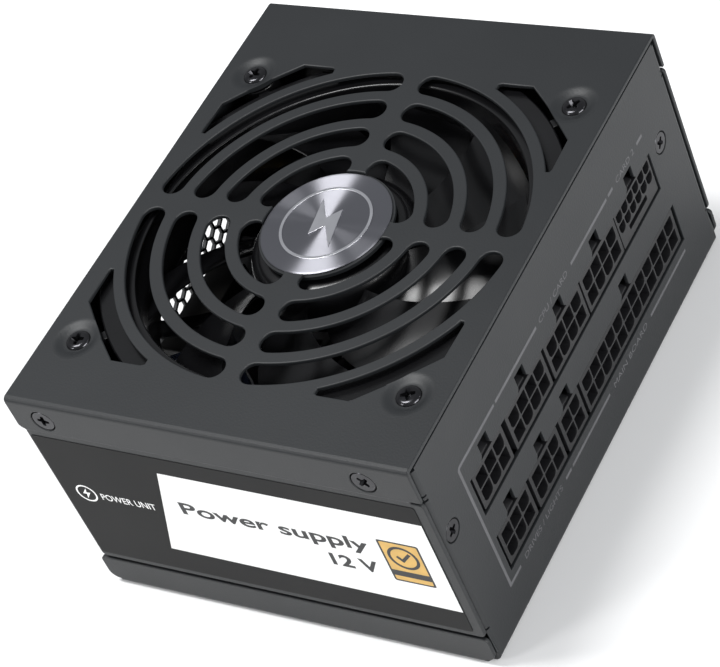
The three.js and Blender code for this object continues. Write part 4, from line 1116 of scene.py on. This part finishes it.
def moulded_box(half_x, half_z, body_x, body_z, mouth, mouth_deep, body_deep, corner):
    """A flange with a hollow body behind it, its face at z = 0; the body has a closed back."""
    box = punched(round_box(-half_x, -half_z, half_x, half_z, corner, 6), [mouth], FLANGE_PROUD, 0.35, 3)
    tube_wall = punched(round_box(-body_x, -body_z, body_x, body_z, 0.8, 4), [mouth],
                        mouth_deep - FLANGE_PROUD + 0.4, 0.1, 1)
    add(box, tube_wall, Matrix.Translation((0, 0, -FLANGE_PROUD + 0.4)))
    back = eased(block(-body_x, -body_z, -body_deep, body_x, body_z, -mouth_deep), 0.3)
    return add(box, back)


mouth_x, mouth_z, slant = 12.2, 8.3, 5.0
inlet_mouth = [
    *arc(-mouth_x + 1, -mouth_z + 1, 1, 180, 270, 4),
    *arc(mouth_x - 1, -mouth_z + 1, 1, 270, 360, 4),
    (mouth_x, mouth_z - slant),
    (mouth_x - slant, mouth_z),
    (slant - mouth_x, mouth_z),
    (-mouth_x, mouth_z - slant),
]
inlet_at = Matrix.Translation((inlet_x, case_y + FLANGE_PROUD, inlet_z)) @ facing_back
inlet = moulded_box(15.5, 11.8, 13.45, 10, inlet_mouth, 16.6, 23.6, 2.2)
place("ac_inlet_shell", add(bmesh.new(), inlet, inlet_at), mains_black, "case", "black_plastic", "ac_inlet")
for name, x, z in (("line", -7, -1), ("neutral", 7, -1), ("earth", 0, 3)):
    blade = eased(block(-1, -2, -28.6, 1, 2, -3.1), 0.3, 3)
    for vert in blade.verts:
        if vert.co.z > -4.2:
            vert.co.y *= 0.75
            vert.co.x *= 0.7
    spot = Matrix.Translation((inlet_x + x, case_y + FLANGE_PROUD, inlet_z + z)) @ facing_back
    place(f"inlet_blade_{name}", add(bmesh.new(), blade, spot), nickel, "case", "contact_metal",
          f"inlet_pin_{name}")

switch_at = Matrix.Translation((switch_x, case_y + FLANGE_PROUD, switch_z)) @ facing_back
switch_mouth = round_box(-4.9, -8.95, 4.9, 8.95, 0.5, 3)
switch_body = moulded_box(7.6, 10.6, 6.4, 9.45, switch_mouth, 11.6, 19.6, 1.4)
place("switch_bezel", add(bmesh.new(), switch_body, switch_at), mains_black, "case", "black_plastic",
      "switch_housing")

PIVOT_IN, ROCKER_TILT = 3.2, 12
rocker_face = PIVOT_IN + 2.4
rocker_side = [*arc(0, 0, 8.2, 64, 122, 10), *arc(0, 0, 8.2, 238, 296, 10), (rocker_face, -7.3),
               (PIVOT_IN + 1, 0), (rocker_face, 7.3)]
rocker_at = (Matrix.Translation((switch_x, case_y - PIVOT_IN, switch_z))
             @ Matrix.Rotation(math.radians(-ROCKER_TILT), 4, "X"))
rocker_turn = Matrix(((0, 0, 1, -4.6), (1, 0, 0, 0), (0, 1, 0, 0), (0, 0, 0, 1)))
rocker = eased(prism(rocker_side, 9.2), 0.35, 3)
place("rocker_button", add(bmesh.new(), rocker, rocker_at @ rocker_turn), mains_black, "rocker",
      "black_plastic", "switch_rocker")
slope = math.degrees(math.atan2(rocker_face - PIVOT_IN - 1, 7.3))
marks = bmesh.new()
for way, shape in ((1, printed(round_box(-0.35, -1.8, 0.35, 1.8, 0.2, 2), 0.04)),
                   (-1, punched(circle(0, 0, 1.7, 32), [circle(0, 0, 1.15, 32)], 0.04, 0.008, 0))):
    middle = Matrix.Translation((0, (PIVOT_IN + 1 + rocker_face) / 2 + 0.02, way * 3.65))
    tilt = Matrix.Rotation(math.radians(-way * slope), 4, "X")
    add(marks, shape, middle @ tilt @ facing_back)
place("rocker_marks", add(bmesh.new(), marks, rocker_at), white_ink, "rocker", "black_plastic")

# ---------------------------------------------------------------------------------------------
# Circuit boards.
# Glass-epoxy boards with green solder mask: the main board on four standoffs over its insulation
# sheet, and an upright board behind the sockets, held by two hexagonal spacers.
# ---------------------------------------------------------------------------------------------

solder_mask = surface("solder_mask", (0.012, 0.06, 0.032), 0.35, specular=0.5, patch=5, vary=0.25,
                      grain=0.5, bump=0.02)
black_film = surface("insulation_film", (0.03, 0.03, 0.033), 0.4, specular=0.4, patch=20, vary=0.1,
                     grain=0.6, bump=0.01)
zinc = surface("zinc_plate", (0.55, 0.55, 0.56), 0.35, metallic=1.0, patch=2, vary=0.12, grain=0.25,
               bump=0.005)
for node in ("main_board", "connector_board"):
    weld_and_ease(node, solder_mask, 0.1, 1)
weld_and_ease("insulation_sheet", black_film, 0.05, 1)
for side in panel_screw_spots:
    weld_and_ease(f"connector_spacer_{side}", nickel, 0.2)
for number, (x, y) in enumerate(board_screw_spots, 1):
    head = cross_head(2.7, 1.1, 1.5, 1.15, 6, flush=False)
    crown = add(bmesh.new(), head, Matrix.Translation((x, y, 9.2)))
    place(f"board_screw_{number}_cross_head", crown, zinc, "case", "steel_screw", f"board_screw_{number}")

# ---------------------------------------------------------------------------------------------
# Components on the main board.
# Sleeved capacitors with scored aluminium tops, ring chokes wound with copper, a taped transformer,
# plain extruded heatsinks and moulded parts, all soldered upright.
# ---------------------------------------------------------------------------------------------

PART_Z = 7.9
dark_sleeve = surface("dark_sleeve", (0.012, 0.016, 0.03), 0.28, specular=0.5, patch=9, vary=0.2, grain=0.6,
                      bump=0.01)
violet_sleeve = surface("violet_sleeve", (0.045, 0.02, 0.07), 0.3, specular=0.5, patch=5, vary=0.2,
                        grain=0.6, bump=0.01)
can_metal = surface("can_aluminium", (0.62, 0.62, 0.63), 0.35, metallic=1.0, patch=3, vary=0.08, grain=0.2,
                    bump=0.006)
ferrite = surface("ferrite", (0.035, 0.035, 0.038), 0.6, specular=0.4, patch=4, vary=0.2, grain=0.35,
                  bump=0.04)
# Painted shade: this tape colour is near-black so that the transformers and the X capacitor look as dark as
# the shade inside the case. It is not the tape's own colour.
painted_shade_tape = surface("painted_shade_tape", (0.014, 0.013, 0.012), 0.35, specular=0.4, patch=4, vary=0.12, grain=0.5,
                    bump=0.012)
heatsink_metal = surface("heatsink_aluminium", (0.48, 0.48, 0.50), 0.42, metallic=1.0, patch=6, vary=0.12,
                         grain=0.3, bump=0.01)
moulded_grey = surface("moulded_grey", (0.09, 0.09, 0.095), 0.5, specular=0.4, patch=5, vary=0.12,
                       grain=0.35, bump=0.015)
ceramic = surface("fuse_ceramic", (0.72, 0.69, 0.62), 0.4, specular=0.5, patch=3, vary=0.06, grain=0.3,
                  bump=0.008)


def capacitor(name, x, y, radius, tall, sleeve):
    """A can with its crimp, in a shrink sleeve that laps over the top, and a cross scored in its lid."""
    lap = radius * 0.16
    sleeve_side = [(0, 0), (radius * 0.94, 0), (radius, 0.5), (radius, tall * 0.07),
                   (radius * 0.94, tall * 0.1),
                   (radius, tall * 0.13), (radius, tall - 1.0), (radius - 0.3, tall - 0.3),
                   (radius - lap, tall), (radius - lap, tall - 0.25), (0, tall - 0.25)]
    jacket = spun(sleeve_side, 48, (x, y, PART_Z))
    place(name + "_sleeve", jacket, sleeve, "case", "capacitor_sleeve", name)
    lid_r = radius - lap - 0.05
    lid = spun([(0, tall - 0.3), (lid_r, tall - 0.3), (lid_r, tall - 0.12), (lid_r - 0.3, tall - 0.06),
                (0, tall - 0.06)], 48)
    for quarter in range(2):
        ridge = eased(block(-lid_r * 0.72, -0.12, tall - 0.1, lid_r * 0.72, 0.12, tall - 0.01), 0.04, 1)
        add(lid, ridge, Matrix.Rotation(quarter * math.pi / 2 + 0.4, 4, "Z"))
    place(name + "_lid", add(bmesh.new(), lid, Matrix.Translation((x, y, PART_Z))), can_metal, "case",
          "capacitor_sleeve")


capacitor("bulk_capacitor", -40, 25.5, 15, 35, dark_sleeve)
for i in range(4):
    capacitor(f"output_capacitor_{i + 1}", -20 + 12 * i, -27, 4.8, 18, violet_sleeve)


def ring_choke(name, x, y, outer, inner, tall, turns, wire):
    """A ferrite ring with one layer of copper wire wound round it."""
    middle, half_wide, half_tall = (outer + inner) / 2, (outer - inner) / 2, tall / 2
    core_half, core_tall = half_wide - 1.1 * wire, half_tall - 1.1 * wire
    core = spun([(middle - core_half, -core_tall), (middle + core_half, -core_tall),
                 (middle + core_half, core_tall),
                 (middle - core_half, core_tall), (middle - core_half, -core_tall)], 48,
                (x, y, PART_Z + half_tall))
    place(name + "_core", core, ferrite, "case", "ferrite", name)
    steps = 20
    path = []
    for i in range(turns * steps + 1):
        sweep = math.radians(20 + 320 * i / (turns * steps))
        round_core = 2 * math.pi * i / steps
        c, s = math.cos(round_core), math.sin(round_core)
        squared = 1 / (abs(c) ** 5 + abs(s) ** 5) ** 0.2
        across = middle + (half_wide - wire / 2) * squared * c * 0.98
        up = (half_tall - wire / 2) * squared * s * 0.98
        path.append(Vector((x + across * math.cos(sweep), y + across * math.sin(sweep),
                            PART_Z + half_tall + up)))
    place(name + "_winding", tube(path, wire / 2, 1), lacquered_copper, "case", "copper_winding")


ring_choke("pfc_choke", -41, -6, 13.5, 6, 14, 40, 1.1)
ring_choke("emi_choke", 49, 14, 8.5, 4, 13, 26, 0.9)
# The transformers' tape and the X capacitor take the near-black tape colour, which is painted shade for the
# inside of the case.
for node, finish, size in (
    ("transformer_core", ferrite, 0.4),
    ("transformer_winding", painted_shade_tape, 0.5),
    ("standby_transformer", painted_shade_tape, 0.4),
    ("x_capacitor", painted_shade_tape, 0.6),
    ("relay", moulded_grey, 0.4),
    ("bridge_rectifier", moulded_grey, 0.4),
    ("fuse", ceramic, 0.3),
    ("primary_heatsink", heatsink_metal, 0.15),
    ("secondary_heatsink", heatsink_metal, 0.15),
):
    weld_and_ease(node, finish, size)
